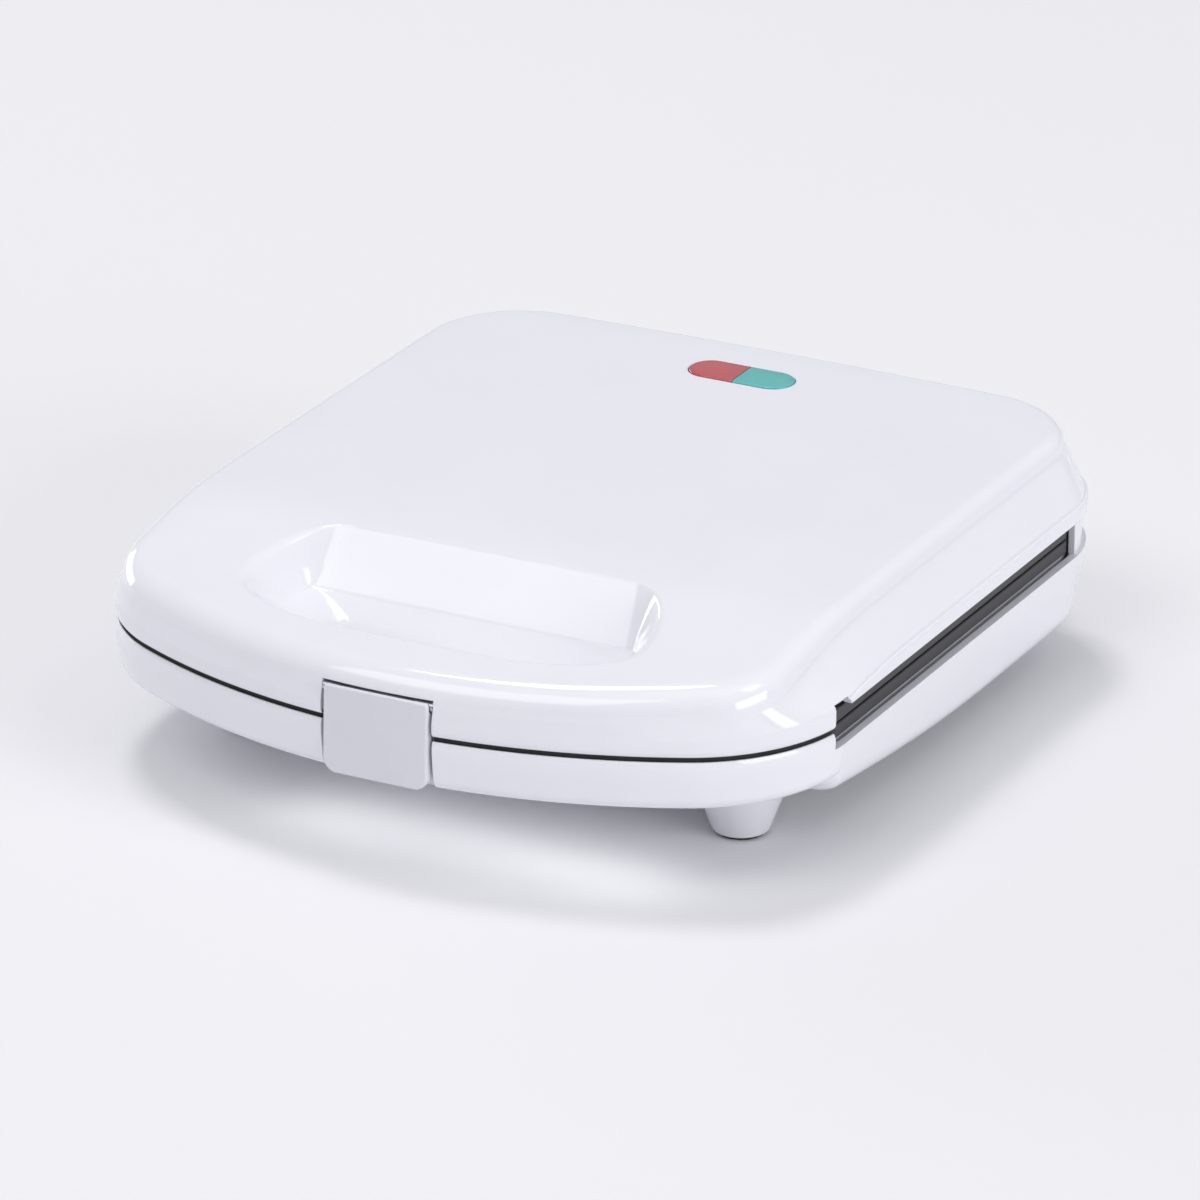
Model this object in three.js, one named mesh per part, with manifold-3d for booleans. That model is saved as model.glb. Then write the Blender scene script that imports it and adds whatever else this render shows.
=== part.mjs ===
// Two-slice sandwich maker with a hinged lid, in millimetres, +Z up, front towards -Y.
// Heights are measured from the seam between lid and base, depths from the front of the
// seam, and the last lines stand the whole on its feet with its middle over the origin.
import * as THREE from 'three';
import { mergeVertices } from 'three/addons/utils/BufferGeometryUtils.js';
import Module from 'manifold-3d';

const wasm = await Module();
wasm.setup();

// Driving dimensions
const bodyWidth = 230;
const bodyDepth = 255;
const seamHeight = 42;
const seamGap = 1.6;
const bowRadius = 194;
const frontCornerRadius = 51;
const rearCornerRadius = 39;
const wall = 2.5;
const fit = 0.3;
const overrun = 20;
const halfWidth = bodyWidth / 2;

// Lid: the rim above the wall is drawn in, and its top slopes down to the front
const lid = {
  headroom: 3,
  rimHeight: 18.3,
  rimDepth: 12,
  slopeEnd: 73,
  knee: 2,
  crown: 1.6,
  edgeRound: 0.6,
  edgeRise: 1.4,
  bulgeShare: 0.4,
  lipDepth: 1,
  lipRise: 0.8,
  lipStart: 52,
  lipFull: 74,
  shoulderInset: 9.5,
  shoulderFront: 1,
  shoulderRearInset: 2.5,
  shoulderCorner: 26,
  shoulderRearCorner: 31,
  frontFillet: 9,
  rearFillet: 5,
  filletStart: 25,
  filletEnd: 110,
};

// Gap along both sides, where the plates' rims show
const sideGap = {
  front: 58,
  half: 5.5,
  notchLength: 8,
  notchRise: 2.2,
};

// Finger recess in the lid's front slope
const recess = {
  front: 19.6,
  bowHalfWidth: 50,
  halfWidth: 63.2,
  widestDepth: 41,
  rearHalfWidth: 47,
  rear: 70.5,
  floorHeight: 12.2,
  floorFront: 25,
  floorBowHalfWidth: 42,
  floorHalfWidth: 53.5,
  floorWidest: 42,
  floorRearHalfWidth: 51.2,
  floorRear: 56.3,
  sideShare: 0.72,
};

// Latch on the front, its pin in the lid and its hook under the base's ledge
const latch = {
  halfWidth: 16.6,
  top: 11.2,
  bottom: -14.8,
  front: -1.2,
  lean: 0.04,
  thickness: 3,
  cornerRadius: 3.6,
  pinRadius: 1.5,
  pinDepth: 3.2,
  pinHeight: 8.8,
  barrelRadius: 3.1,
  barrelHalfWidth: 12,
  hookReach: 3.1,
  hookHeight: 2.1,
  hookHalfWidth: 11,
  notchGap: 1,
  topGap: 0.8,
  pocketDepth: 8.4,
  ledgeHeight: 2.8,
  ledgeHalfWidth: 12.5,
  ledgeDepth: 2.6,
  cheekWall: 3.4,
};

// Base: a shallow grip at the front and a deeper belly behind it
const base = {
  gripBottom: 16,
  gripFillet: 4,
  gripInset: 0.9,
  bellyFront: 57,
  bellyFrontCorner: 5,
  bellyStartDepth: 21.5,
  bellyRunPast: 30,
  underRoom: 2.2,
  bellyFillet: 8,
  sideLean: 0.16,
  edgeRound: 0.6,
  edgeRise: 3,
  shroudInset: 1.5,
  shroudWall: 2,
  shroudTop: 4.5,
  shroudLap: 3,
  shroudSetback: 36,
};

// Feet: cones moulded on the base, each with a pushed-in rubber pad
const foot = {
  frontInset: 35.8,
  frontY: 69.6,
  rearInset: 35,
  rearSetback: 35,
  taper: 0.37,
  tipRadius: 8.3,
  tipGap: 1,
  coreStart: 8,
  padRadius: 7.2,
  padRound: 0.5,
  stemRadius: 2,
  stemLength: 5,
};

// Cooking plates, four triangular pockets each
const plate = {
  sideInset: 3,
  frontGap: 2,
  rearSetback: 36.6,
  cornerRadius: 3,
  faceGap: 0.25,
  rim: 5.2,
  rimStep: 0.8,
  rimStepDepth: 1.3,
  thickness: 2.6,
  pocketWall: 2.2,
  pocketDepth: 9.5,
  pocketInner: 5.5,
  pocketSideMargin: 8,
  pocketEndMargin: 15.7,
  pocketCorner: 7,
  pocketDraft: 2.7,
  ridgeHalfWidth: 1.7,
  channelOffset: 2.4,
  channelWidth: 2.4,
  channelDepth: 1.2,
  bossRadius: 4.2,
};

// Deck: the inner frame that carries a plate and closes the grip
const deck = {
  thickness: 2.2,
  flange: 2,
  flangeInset: 4.6,
  riserFront: 56.6,
  riserWall: 2.2,
  windowSideLedge: 4.2,
  windowFrontLedge: 12.6,
  windowRearLedge: 5.6,
  windowCorner: 8,
  latchHalfWidth: 21.6,
  latchDepth: 13,
};

// Heating: tubular element, clamp strip and sheet pan
const heater = {
  tubeRadius: 3,
  sideInset: 30,
  endInset: 20,
  legHalfGap: 16,
  tailLength: 5.5,
  bend: 12,
  stripWidth: 14,
  stripThickness: 0.7,
  stripOverhang: 5,
  sleeveRadius: 4.2,
  sleeveSetIn: 3.2,
  sleeveLength: 7,
};
const pan = {
  sheet: 0.7,
  flangeWidth: 2.8,
  sideSlope: 9.4,
  frontSlope: 5.2,
  rearSlope: 3.4,
  corner: 9,
};

// Hinge: two lid lugs, each between two base ears, on a steel pin
const hinge = {
  setBack: 4.7,
  drop: 4,
  radius: 4.2,
  pinRadius: 1.5,
  lugInset: 47,
  lugWidth: 18,
  earWidth: 5,
  earRoot: 10.1,
  earLip: 2.9,
  armTop: 16,
  pinShort: 1.5,
};

// Screws: pan head, round shank
const screw = {
  headRadius: 3,
  headHeight: 1.8,
  shankRadius: 1.5,
  bossRadius: 4.2,
  grip: 8,
  frontInset: 53,
  frontY: 34,
  rearInset: 51,
  rearSetback: 22,
  lidFrontInset: 31,
  lidFrontY: 44,
  deckBoss: 3,
  sinkWall: 1.4,
};
const plateBolt = { headRadius: 4, headHeight: 2, shankRadius: 1.9, length: 11 };

// Signal lights: one pill-shaped window, red left half and green right half
const light = {
  setback: 29,
  length: 34,
  width: 13.6,
  proud: 0.5,
  lensThickness: 1.6,
  flangeLap: 1.6,
  flangeThickness: 1.1,
  bulbRadius: 2.6,
  bulbLength: 13,
  bulbX: 8.6,
  bulbDrop: 7,
  carrierThickness: 1.4,
  carrierHalfLength: 29,
  carrierHalfWidth: 6.4,
  cradleWidth: 3,
  postRadius: 2.6,
  postX: 25.6,
  screwRadius: 1,
  screwGrip: 5,
};

// Small electrical pieces in the base
const thermostat = { x: 34, radius: 8, height: 4.6, tabWidth: 5, tabThickness: 0.8, tabLength: 7 };
const fuse = { x: -34, behind: 26, radius: 2, length: 12, coneLength: 2, leadRadius: 0.6, leadLength: 9 };
const block = { width: 22, depth: 13, height: 9, setback: 21, seatHeight: 3, boreRadius: 1.7, pitch: 9 };
const inlet = {
  besideHinge: 30,
  z: -15.2,
  bossRadius: 7.4,
  holeRadius: 4.4,
  boreRadius: 3.2,
  flangeRadius: 6.2,
  flange: 1.3,
  wall: 4.4,
  setIn: 1.2,
};

// Places that follow the overall width and depth
plate.halfWidth = halfWidth - plate.sideInset;
plate.front = sideGap.front + plate.frontGap;
plate.rear = bodyDepth - plate.rearSetback;
plate.pocketOuter = plate.halfWidth - plate.pocketSideMargin;
plate.pocketFront = plate.front + plate.pocketEndMargin;
plate.pocketRear = plate.rear - plate.pocketEndMargin;
plate.bossY = (plate.pocketFront + plate.pocketRear) / 2;
deck.windowHalfWidth = plate.halfWidth - deck.windowSideLedge;
deck.windowFront = plate.front + deck.windowFrontLedge;
deck.windowRear = plate.rear - deck.windowRearLedge;
pan.topHalfWidth = deck.windowHalfWidth - fit;
pan.topFront = deck.windowFront - fit;
pan.topRear = deck.windowRear + fit;
heater.halfWidth = plate.pocketOuter - heater.sideInset;
heater.front = plate.pocketFront + heater.endInset;
heater.rear = plate.pocketRear - heater.endInset;
heater.sleeveStart = pan.topRear - heater.sleeveSetIn;
heater.end = pan.topRear + heater.tailLength;
hinge.lugX = halfWidth - hinge.lugInset;
foot.frontX = halfWidth - foot.frontInset;
foot.rearX = halfWidth - foot.rearInset;
foot.rearY = bodyDepth - foot.rearSetback;
screw.frontX = halfWidth - screw.frontInset;
screw.rearX = halfWidth - screw.rearInset;
screw.rearY = bodyDepth - screw.rearSetback;
screw.lidFrontX = halfWidth - screw.lidFrontInset;
light.y = bodyDepth - light.setback;
thermostat.y = plate.bossY;
fuse.y = plate.bossY + fuse.behind;
block.y = bodyDepth - block.setback;
inlet.x = hinge.lugX - inlet.besideHinge;

// Heights that stack up from a plate's face, and the shells that close over them
const elementZ = plate.pocketDepth + plate.pocketWall + fit + heater.tubeRadius;
const stripZ = elementZ + heater.tubeRadius + fit;
const panFloor = stripZ + heater.stripThickness + fit * 3;
const panTop = sideGap.half + deck.flange + fit;
const boltSeat = panFloor + pan.sheet + fit;
const thermostatEnd = boltSeat + thermostat.height + thermostat.tabThickness;
lid.topHeight = boltSeat + plateBolt.headHeight + lid.headroom + wall;
base.bellyDrop = thermostatEnd + base.underRoom + wall - base.bellyStartDepth;
base.bellyRun = plate.bossY + base.bellyRunPast - base.bellyFront;

// Facet counts
const bowSteps = 6;
const cornerSteps = 5;
const sideSteps = 4;
const rearSteps = 2;
const roundSteps = 14;
const footSteps = 20;
const fineSteps = 16;
const smallSteps = 10;

const lidEdge = seamGap / 2;
const pinY = bodyDepth + hinge.setBack;
const pinZ = -hinge.drop;

const white = { color: 0xf0f0f6, roughness: 0.22, metalness: 0 };
const grey = { color: 0xccccd6, roughness: 0.3, metalness: 0 };
const coating = { color: 0x3c3c40, roughness: 0.55, metalness: 0.1 };
const steel = { color: 0xb8bac0, roughness: 0.35, metalness: 0.9 };
const sheet = { color: 0xc9ccd1, roughness: 0.4, metalness: 0.85 };
const sheath = { color: 0x6f6c66, roughness: 0.5, metalness: 0.7 };
const rubber = { color: 0x2a2a2c, roughness: 0.9, metalness: 0 };
const ceramic = { color: 0xe9e5da, roughness: 0.7, metalness: 0 };
const redLens = { color: 0xc8242c, roughness: 0.15, metalness: 0 };
const greenLens = { color: 0x2fa58c, roughness: 0.15, metalness: 0 };
const glass = { color: 0xe8d8c8, roughness: 0.1, metalness: 0 };
const phenolic = { color: 0x2f2a28, roughness: 0.6, metalness: 0 };
const brass = { color: 0xb58e3c, roughness: 0.4, metalness: 0.9 };

// Small numeric helpers
const mix = (a, b, t) => a + (b - a) * t;
function ramp(from, to, value) {
  const t = Math.min(1, Math.max(0, (value - from) / (to - from)));
  return t * t * (3 - 2 * t);
}

// A closed geometry becomes a solid once its shared corners are merged
function solid(geometry) {
  const bare = geometry.index ? geometry.toNonIndexed() : geometry.clone();
  bare.deleteAttribute('normal');
  bare.deleteAttribute('uv');
  const merged = mergeVertices(bare, 1e-4);
  const vertProperties = new Float32Array(merged.attributes.position.array);
  const corners = Array.from(merged.index.array);
  const triVerts = [];
  for (let i = 0; i < corners.length; i += 3) {
    const [a, b, c] = corners.slice(i, i + 3);
    if (a !== b && b !== c && c !== a) triVerts.push(a, b, c);
  }
  // A profile may run either way, so the faces are turned out by the sign of the volume
  const at = (i) => new THREE.Vector3().fromArray(vertProperties, i * 3);
  let volume = 0;
  for (let i = 0; i < triVerts.length; i += 3) {
    volume += at(triVerts[i]).dot(at(triVerts[i + 1]).cross(at(triVerts[i + 2])));
  }
  if (volume < 0) triVerts.reverse();
  const mesh = new wasm.Mesh({ numProp: 3, vertProperties, triVerts: new Uint32Array(triVerts) });
  return new wasm.Manifold(mesh);
}

const join = (first, ...rest) => rest.reduce((sum, piece) => sum.add(piece), first);
const cut = (first, ...rest) => rest.reduce((sum, piece) => sum.subtract(piece), first);

// Shapes from three.js
function box(x0, x1, y0, y1, z0, z1) {
  const geometry = new THREE.BoxGeometry(x1 - x0, y1 - y0, z1 - z0);
  geometry.translate((x0 + x1) / 2, (y0 + y1) / 2, (z0 + z1) / 2);
  return solid(geometry);
}

function drum(radius, z0, z1, x, y, steps = roundSteps, topRadius = radius) {
  const geometry = new THREE.CylinderGeometry(topRadius, radius, z1 - z0, steps);
  geometry.rotateX(Math.PI / 2);
  geometry.translate(x, y, (z0 + z1) / 2);
  return solid(geometry);
}

function drumAlongX(radius, x0, x1, y, z, steps = roundSteps) {
  const geometry = new THREE.CylinderGeometry(radius, radius, x1 - x0, steps);
  geometry.rotateZ(Math.PI / 2);
  geometry.translate((x0 + x1) / 2, y, z);
  return solid(geometry);
}

function drumAlongY(radius, y0, y1, x, z, steps = roundSteps) {
  const geometry = new THREE.CylinderGeometry(radius, radius, y1 - y0, steps);
  geometry.translate(x, (y0 + y1) / 2, z);
  return solid(geometry);
}

function prism(shape, z0, z1, curveSegments = 6) {
  const geometry = new THREE.ExtrudeGeometry(shape, { depth: z1 - z0, bevelEnabled: false, curveSegments });
  geometry.translate(0, 0, z0);
  return solid(geometry);
}

// A profile in Y and Z, extruded along X
function prismAlongX(points, x0, x1) {
  const shape = new THREE.Shape(points.map(([y, z]) => new THREE.Vector2(y, z)));
  const geometry = new THREE.ExtrudeGeometry(shape, { depth: x1 - x0, bevelEnabled: false });
  geometry.applyMatrix4(new THREE.Matrix4().set(0, 0, 1, x0, 1, 0, 0, 0, 0, 1, 0, 0, 0, 0, 0, 1));
  return solid(geometry);
}

function roundedRect(x0, x1, y0, y1, radius) {
  const shape = new THREE.Shape();
  shape.moveTo(x0 + radius, y0);
  shape.lineTo(x1 - radius, y0);
  shape.absarc(x1 - radius, y0 + radius, radius, -Math.PI / 2, 0, false);
  shape.lineTo(x1, y1 - radius);
  shape.absarc(x1 - radius, y1 - radius, radius, 0, Math.PI / 2, false);
  shape.lineTo(x0 + radius, y1);
  shape.absarc(x0 + radius, y1 - radius, radius, Math.PI / 2, Math.PI, false);
  shape.lineTo(x0, y0 + radius);
  shape.absarc(x0 + radius, y0 + radius, radius, Math.PI, Math.PI * 1.5, false);
  return shape;
}

// Rings of [x, y, z] from bottom to top, each counterclockwise from above
function loft(rings) {
  const count = rings[0].length;
  const position = [];
  const index = [];
  rings.forEach((ring) => ring.forEach((point) => position.push(...point)));
  for (let level = 0; level < rings.length - 1; level += 1) {
    for (let i = 0; i < count; i += 1) {
      const a = level * count + i;
      const b = level * count + ((i + 1) % count);
      index.push(a, b, b + count, a, b + count, a + count);
    }
  }
  const lowest = rings[0].map(([x, y]) => new THREE.Vector2(x, y));
  const highest = rings[rings.length - 1].map(([x, y]) => new THREE.Vector2(x, y));
  const top = (rings.length - 1) * count;
  THREE.ShapeUtils.triangulateShape(lowest, []).forEach(([a, b, c]) => index.push(a, c, b));
  THREE.ShapeUtils.triangulateShape(highest, []).forEach((face) => {
    index.push(...face.map((i) => top + i));
  });
  const geometry = new THREE.BufferGeometry();
  geometry.setAttribute('position', new THREE.Float32BufferAttribute(position, 3));
  geometry.setIndex(index);
  return solid(geometry);
}

// Plan of the housing: a bowed front, round corners, straight sides and a straight rear.
// The same number of points for any size, so that plans can be lofted together.
function planOf({ half, front, rear, bow, frontCorner, rearCorner }) {
  const cornerX = half - frontCorner;
  const bowY = front + bow;
  const cornerY = bowY - Math.sqrt((bow - frontCorner) ** 2 - cornerX ** 2);
  const bowAngle = Math.atan2(cornerX, bowY - cornerY);
  const right = [];
  for (let i = 0; i < bowSteps; i += 1) {
    const angle = (bowAngle * i) / bowSteps;
    right.push([bow * Math.sin(angle), bowY - bow * Math.cos(angle)]);
  }
  for (let i = 0; i < cornerSteps; i += 1) {
    const angle = mix(bowAngle, Math.PI / 2, i / cornerSteps);
    right.push([cornerX + frontCorner * Math.sin(angle), cornerY - frontCorner * Math.cos(angle)]);
  }
  for (let i = 0; i < sideSteps; i += 1) {
    right.push([half, mix(cornerY, rear - rearCorner, i / sideSteps)]);
  }
  for (let i = 0; i < cornerSteps; i += 1) {
    const angle = ((Math.PI / 2) * i) / cornerSteps;
    const x = half - rearCorner + rearCorner * Math.cos(angle);
    right.push([x, rear - rearCorner + rearCorner * Math.sin(angle)]);
  }
  for (let i = 0; i < rearSteps; i += 1) {
    right.push([(half - rearCorner) * (1 - i / rearSteps), rear]);
  }
  const left = right.slice(1).reverse().map(([x, y]) => [-x, y]);
  return [...right, [0, rear], ...left];
}

// The housing's plan at the seam, drawn in by an inset
function seamPlan(inset) {
  return planOf({
    half: halfWidth - inset,
    front: inset,
    rear: bodyDepth - inset,
    bow: bowRadius - inset,
    frontCorner: frontCornerRadius - inset,
    rearCorner: rearCornerRadius - inset,
  });
}

// The plan where the lid's walls end and its top fillet begins
function shoulderPlan(inset) {
  return planOf({
    half: halfWidth - lid.shoulderInset - inset,
    front: lid.shoulderFront + inset,
    rear: bodyDepth - lid.shoulderRearInset - inset,
    bow: bowRadius - lid.shoulderFront - inset,
    frontCorner: lid.shoulderCorner - inset,
    rearCorner: lid.shoulderRearCorner - inset,
  });
}

// The belly's plan: as the seam's, with a straight front behind the grip
function bellyPlan(inset) {
  const half = halfWidth - inset;
  const front = base.bellyFront + inset;
  const corner = base.bellyFrontCorner;
  return planOf({
    half,
    front,
    rear: bodyDepth - inset,
    bow: bodyDepth * bowRadius,
    frontCorner: corner,
    rearCorner: rearCornerRadius - inset,
  });
}

// Height of the lid's top over a place in plan
function topHeight(x, y) {
  const slope = (lid.topHeight - lid.rimHeight) / (lid.slopeEnd - lid.rimDepth);
  const line = lid.rimHeight + (y - lid.rimDepth) * slope;
  const smooth = (line + lid.topHeight - Math.hypot(line - lid.topHeight, lid.knee)) / 2;
  return smooth - lid.crown * (x / halfWidth) ** 2;
}

const filletAt = (y) => mix(lid.frontFillet, lid.rearFillet, ramp(lid.filletStart, lid.filletEnd, y));

// The lid's outer form, or with an inset the hollow inside it
function lidForm(inset) {
  const edge = seamPlan(lid.edgeRound + inset);
  const low = seamPlan(lid.edgeRound / 4 + inset);
  const full = seamPlan(inset);
  const drawn = seamPlan(inset + lid.lipDepth);
  const filletSteps = inset > 0 ? [0, 1] : [0, 0.3, 0.6, 1];
  const steepest = full.map(([, y], i) => {
    const fillet = filletAt(y);
    const [endX, endY] = shoulderPlan(fillet)[i];
    return topHeight(endX, endY) - inset - fillet;
  });
  const bottom = inset > 0 ? -overrun : lidEdge;
  const rings = [edge.map(([x, y]) => [x, y, bottom])];
  if (inset === 0) rings.push(low.map(([x, y]) => [x, y, lidEdge + lid.edgeRise]));
  const lipHeight = full.map((_, i) => mix(lidEdge, steepest[i], lid.bulgeShare));
  rings.push(full.map(([x, y], i) => [x, y, lipHeight[i]]));
  rings.push(full.map(([x, y], i) => {
    const share = ramp(lid.lipStart, lid.lipFull, y);
    return [mix(x, drawn[i][0], share), mix(y, drawn[i][1], share), lipHeight[i] + lid.lipRise];
  }));
  filletSteps.forEach((step) => {
    const angle = (Math.PI / 2) * step;
    const ring = full.map(([, y], i) => {
      const fillet = filletAt(y);
      const flat = shoulderPlan(inset + fillet * (1 - Math.cos(angle)));
      return [flat[i][0], flat[i][1], steepest[i] + fillet * Math.sin(angle)];
    });
    rings.push(ring);
  });
  const rim = rings[rings.length - 1];
  const spineHalf = (halfWidth - lid.shoulderInset) / 3;
  const innerShares = [0.7, 0.35];
  innerShares.forEach((share) => {
    rings.push(rim.map(([x, y]) => {
      const middle = Math.max(-spineHalf, Math.min(spineHalf, x));
      const px = mix(middle * 0.5, x, share);
      const py = mix(bodyDepth / 2, y, share);
      return [px, py, topHeight(px, py) - inset];
    }));
  });
  return loft(rings);
}

// The finger recess: a bowed front, round ends and a flat ramp at the rear
function recessPlan({ front, bowHalf, half, widest, rearHalf, rear }, grow) {
  const shape = new THREE.Shape();
  const bowY = front - grow;
  const bowEnd = front + bowHalf ** 2 / (2 * (bowRadius - front)) - grow;
  shape.moveTo(0, bowY);
  shape.quadraticCurveTo(bowHalf / 2, bowY, bowHalf, bowEnd);
  shape.quadraticCurveTo(half + grow, bowEnd + (half - bowHalf) / 2, half + grow, widest);
  shape.quadraticCurveTo(half + grow, mix(widest, rear, recess.sideShare), rearHalf + grow, rear + grow);
  const right = shape.getPoints(5).map(({ x, y }) => [x, y]);
  const left = right.slice(1).reverse().map(([x, y]) => [-x, y]);
  return [...right, ...left];
}

function recessForm(grow) {
  const upper = recessPlan({
    front: recess.front,
    bowHalf: recess.bowHalfWidth,
    half: recess.halfWidth,
    widest: recess.widestDepth,
    rearHalf: recess.rearHalfWidth,
    rear: recess.rear,
  }, grow);
  const lower = recessPlan({
    front: recess.floorFront,
    bowHalf: recess.floorBowHalfWidth,
    half: recess.floorHalfWidth,
    widest: recess.floorWidest,
    rearHalf: recess.floorRearHalfWidth,
    rear: recess.floorRear,
  }, grow);
  const heights = upper.map(([x, y]) => topHeight(x, y));
  const run = overrun / 2;
  const floor = lower.map(([x, y]) => [x, y, recess.floorHeight - grow]);
  const rim = upper.map(([x, y], i) => [x, y, heights[i]]);
  const above = upper.map(([x, y], i) => {
    const share = run / (heights[i] - recess.floorHeight);
    const spread = 1 + share;
    const px = mix(lower[i][0], x, spread);
    const py = mix(lower[i][1], y, spread);
    return [px, py, mix(recess.floorHeight, heights[i], spread)];
  });
  return loft([floor, rim, above]);
}

// A boss with a blind screw hole
const boss = (x, y, z0, z1) => drum(screw.bossRadius, z0, z1, x, y, smallSteps);
const screwHole = (x, y, z0, z1) => drum(screw.shankRadius + fit, z0, z1, x, y, smallSteps);

const mirrored = (place) => [-1, 1].map((side) => place(side));

function pill(grow, z0, z1) {
  const half = light.length / 2 + grow;
  const radius = light.width / 2 + grow;
  return prism(roundedRect(-half, half, light.y - radius, light.y + radius, radius), z0, z1, 3);
}

const lensSeat = topHeight(0, light.y) - wall;
const lampHeight = topHeight(0, light.y) - light.bulbDrop;
const carrierTop = lampHeight - light.bulbRadius - fit;
const lidFrontBoss = lidEdge + deck.thickness + screw.deckBoss + fit;
const lidRearBoss = sideGap.half + deck.flange + fit * 2;

function lidHinge(side) {
  const x0 = side * hinge.lugX - hinge.lugWidth / 2;
  const x1 = x0 + hinge.lugWidth;
  const rearFace = pinY + hinge.radius;
  const arm = prismAlongX([
    [pinY - hinge.radius, pinZ],
    [rearFace, pinZ],
    [rearFace, sideGap.half],
    [bodyDepth - wall / 2, hinge.armTop],
    [bodyDepth - wall, hinge.armTop],
    [bodyDepth - wall, sideGap.half],
    [pinY - hinge.radius, sideGap.half],
  ], x0, x1);
  return join(arm, drumAlongX(hinge.radius, x0, x1, pinY, pinZ, fineSteps));
}

function makeLidCover() {
  const outer = lidForm(0);
  const recessShell = recessForm(wall);
  let cover = outer.subtract(lidForm(wall).subtract(recessShell));
  const latchHalf = latch.halfWidth + latch.notchGap;
  const latchTop = latch.top + latch.topGap;
  const blockHalf = latchHalf + latch.cheekWall;
  const latchBlock = box(-blockHalf, blockHalf, lid.edgeRound, latch.pocketDepth + wall, lidEdge,
    latchTop + wall).intersect(outer);
  cover = join(cover, latchBlock);
  mirrored((side) => {
    const x = side * screw.lidFrontX;
    cover = join(cover, boss(x, screw.lidFrontY, lidFrontBoss, topHeight(x, screw.lidFrontY) - wall / 2));
    const rearX = side * screw.rearX;
    cover = join(cover, boss(rearX, screw.rearY, lidRearBoss, lensSeat));
    cover = join(cover, drum(light.postRadius, carrierTop + fit, lensSeat + wall / 2,
      side * light.postX, light.y, 10));
    cover = join(cover, lidHinge(side));
  });
  cover = cover.intersect(join(outer, box(-halfWidth, halfWidth, bodyDepth - wall, bodyDepth + overrun,
    -overrun, hinge.armTop)));
  // Everything below the side gap goes, but for the hinge lugs
  const gapCut = box(-bodyWidth, bodyWidth, sideGap.front, bodyDepth + hinge.setBack - hinge.radius - fit,
    -overrun, sideGap.half);
  const notchRear = sideGap.front + sideGap.notchLength;
  const notches = mirrored((side) => {
    const inner = side * (halfWidth - wall - lid.lipDepth);
    const edges = [inner, side * (halfWidth + overrun)].sort((a, b) => a - b);
    return box(edges[0], edges[1], sideGap.front, notchRear, 0, sideGap.half + sideGap.notchRise);
  });
  cover = cut(cover, gapCut, ...notches, recessForm(0));
  cover = cut(cover, box(-latchHalf, latchHalf, -overrun, latch.pocketDepth, -overrun, latchTop));
  cover = cut(cover, drumAlongX(latch.pinRadius + fit, -latchHalf - latch.cheekWall / 2,
    latchHalf + latch.cheekWall / 2, latch.pinDepth, latch.pinHeight));
  cover = cut(cover, pill(fit, lensSeat - wall, lid.topHeight + overrun));
  mirrored((side) => {
    cover = cut(cover, screwHole(side * screw.lidFrontX, screw.lidFrontY, 0, lidFrontBoss + screw.grip));
    cover = cut(cover, screwHole(side * screw.rearX, screw.rearY, 0, lidRearBoss + screw.grip));
    const x = side * hinge.lugX;
    cover = cut(cover, drumAlongX(hinge.pinRadius + fit, x - hinge.lugWidth, x + hinge.lugWidth, pinY, pinZ));
    const lampScrewEnd = carrierTop + light.screwGrip + fit;
    cover = cut(cover, drum(light.screwRadius + fit, 0, lampScrewEnd, side * light.postX, light.y, 8));
  });
  return cover;
}

// Height of the base's underside behind the grip
function bellyDepth(y) {
  const share = Math.min(1, Math.max(0, (y - base.bellyFront) / base.bellyRun));
  return -(base.bellyStartDepth + base.bellyDrop * Math.sin((Math.PI / 2) * share));
}

function gripForm(inset) {
  const top = inset > 0 ? overrun : -lidEdge;
  const floor = -base.gripBottom + inset;
  const fillet = base.gripFillet;
  const rings = [];
  [1, 0.5, 0].forEach((step) => {
    const angle = (Math.PI / 2) * step;
    const plan = seamPlan(base.gripInset + inset + fillet * (1 - Math.cos(angle)));
    rings.push(plan.map(([x, y]) => [x, y, floor + fillet * (1 - Math.sin(angle))]));
  });
  rings.push(seamPlan(inset).map(([x, y]) => [x, y, -base.edgeRise]));
  rings.push(seamPlan(inset + base.edgeRound).map(([x, y]) => [x, y, top]));
  return loft(rings);
}

// How far the belly's wall has drawn in at a height
const bellyDraw = (z) => base.edgeRound / 2 + Math.max(0, -z - sideGap.half) * base.sideLean;

function bellyForm(inset) {
  const top = inset > 0 ? overrun : -sideGap.half;
  const fillet = base.bellyFillet;
  const outline = bellyPlan(0);
  const cornerRing = (step) => {
    const angle = (Math.PI / 2) * step;
    return outline.map(([, y], i) => {
      const draw = bellyDraw(bellyDepth(y) + fillet) + inset + fillet * (1 - Math.cos(angle));
      const [px, py] = bellyPlan(draw)[i];
      return [px, py, bellyDepth(py) + inset + fillet * (1 - Math.sin(angle))];
    });
  };
  const floorRing = cornerRing(1);
  const middleY = (base.bellyFront + bodyDepth) / 2;
  const floorShares = [0.4, 0.75];
  const rings = floorShares.map((share) => floorRing.map(([x, y]) => {
    const py = mix(middleY, y, share);
    return [x * share, py, bellyDepth(py) + inset];
  }));
  const steps = inset > 0 ? [1, 0.5, 0] : [1, 0.67, 0.33, 0];
  steps.forEach((step) => rings.push(cornerRing(step)));
  const rim = bellyPlan(inset + base.edgeRound / 2);
  if (inset > 0) rings.push(rim.map(([x, y]) => [x, y, -sideGap.half]));
  rings.push(rim.map(([x, y]) => [x, y, top]));
  return loft(rings);
}

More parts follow.
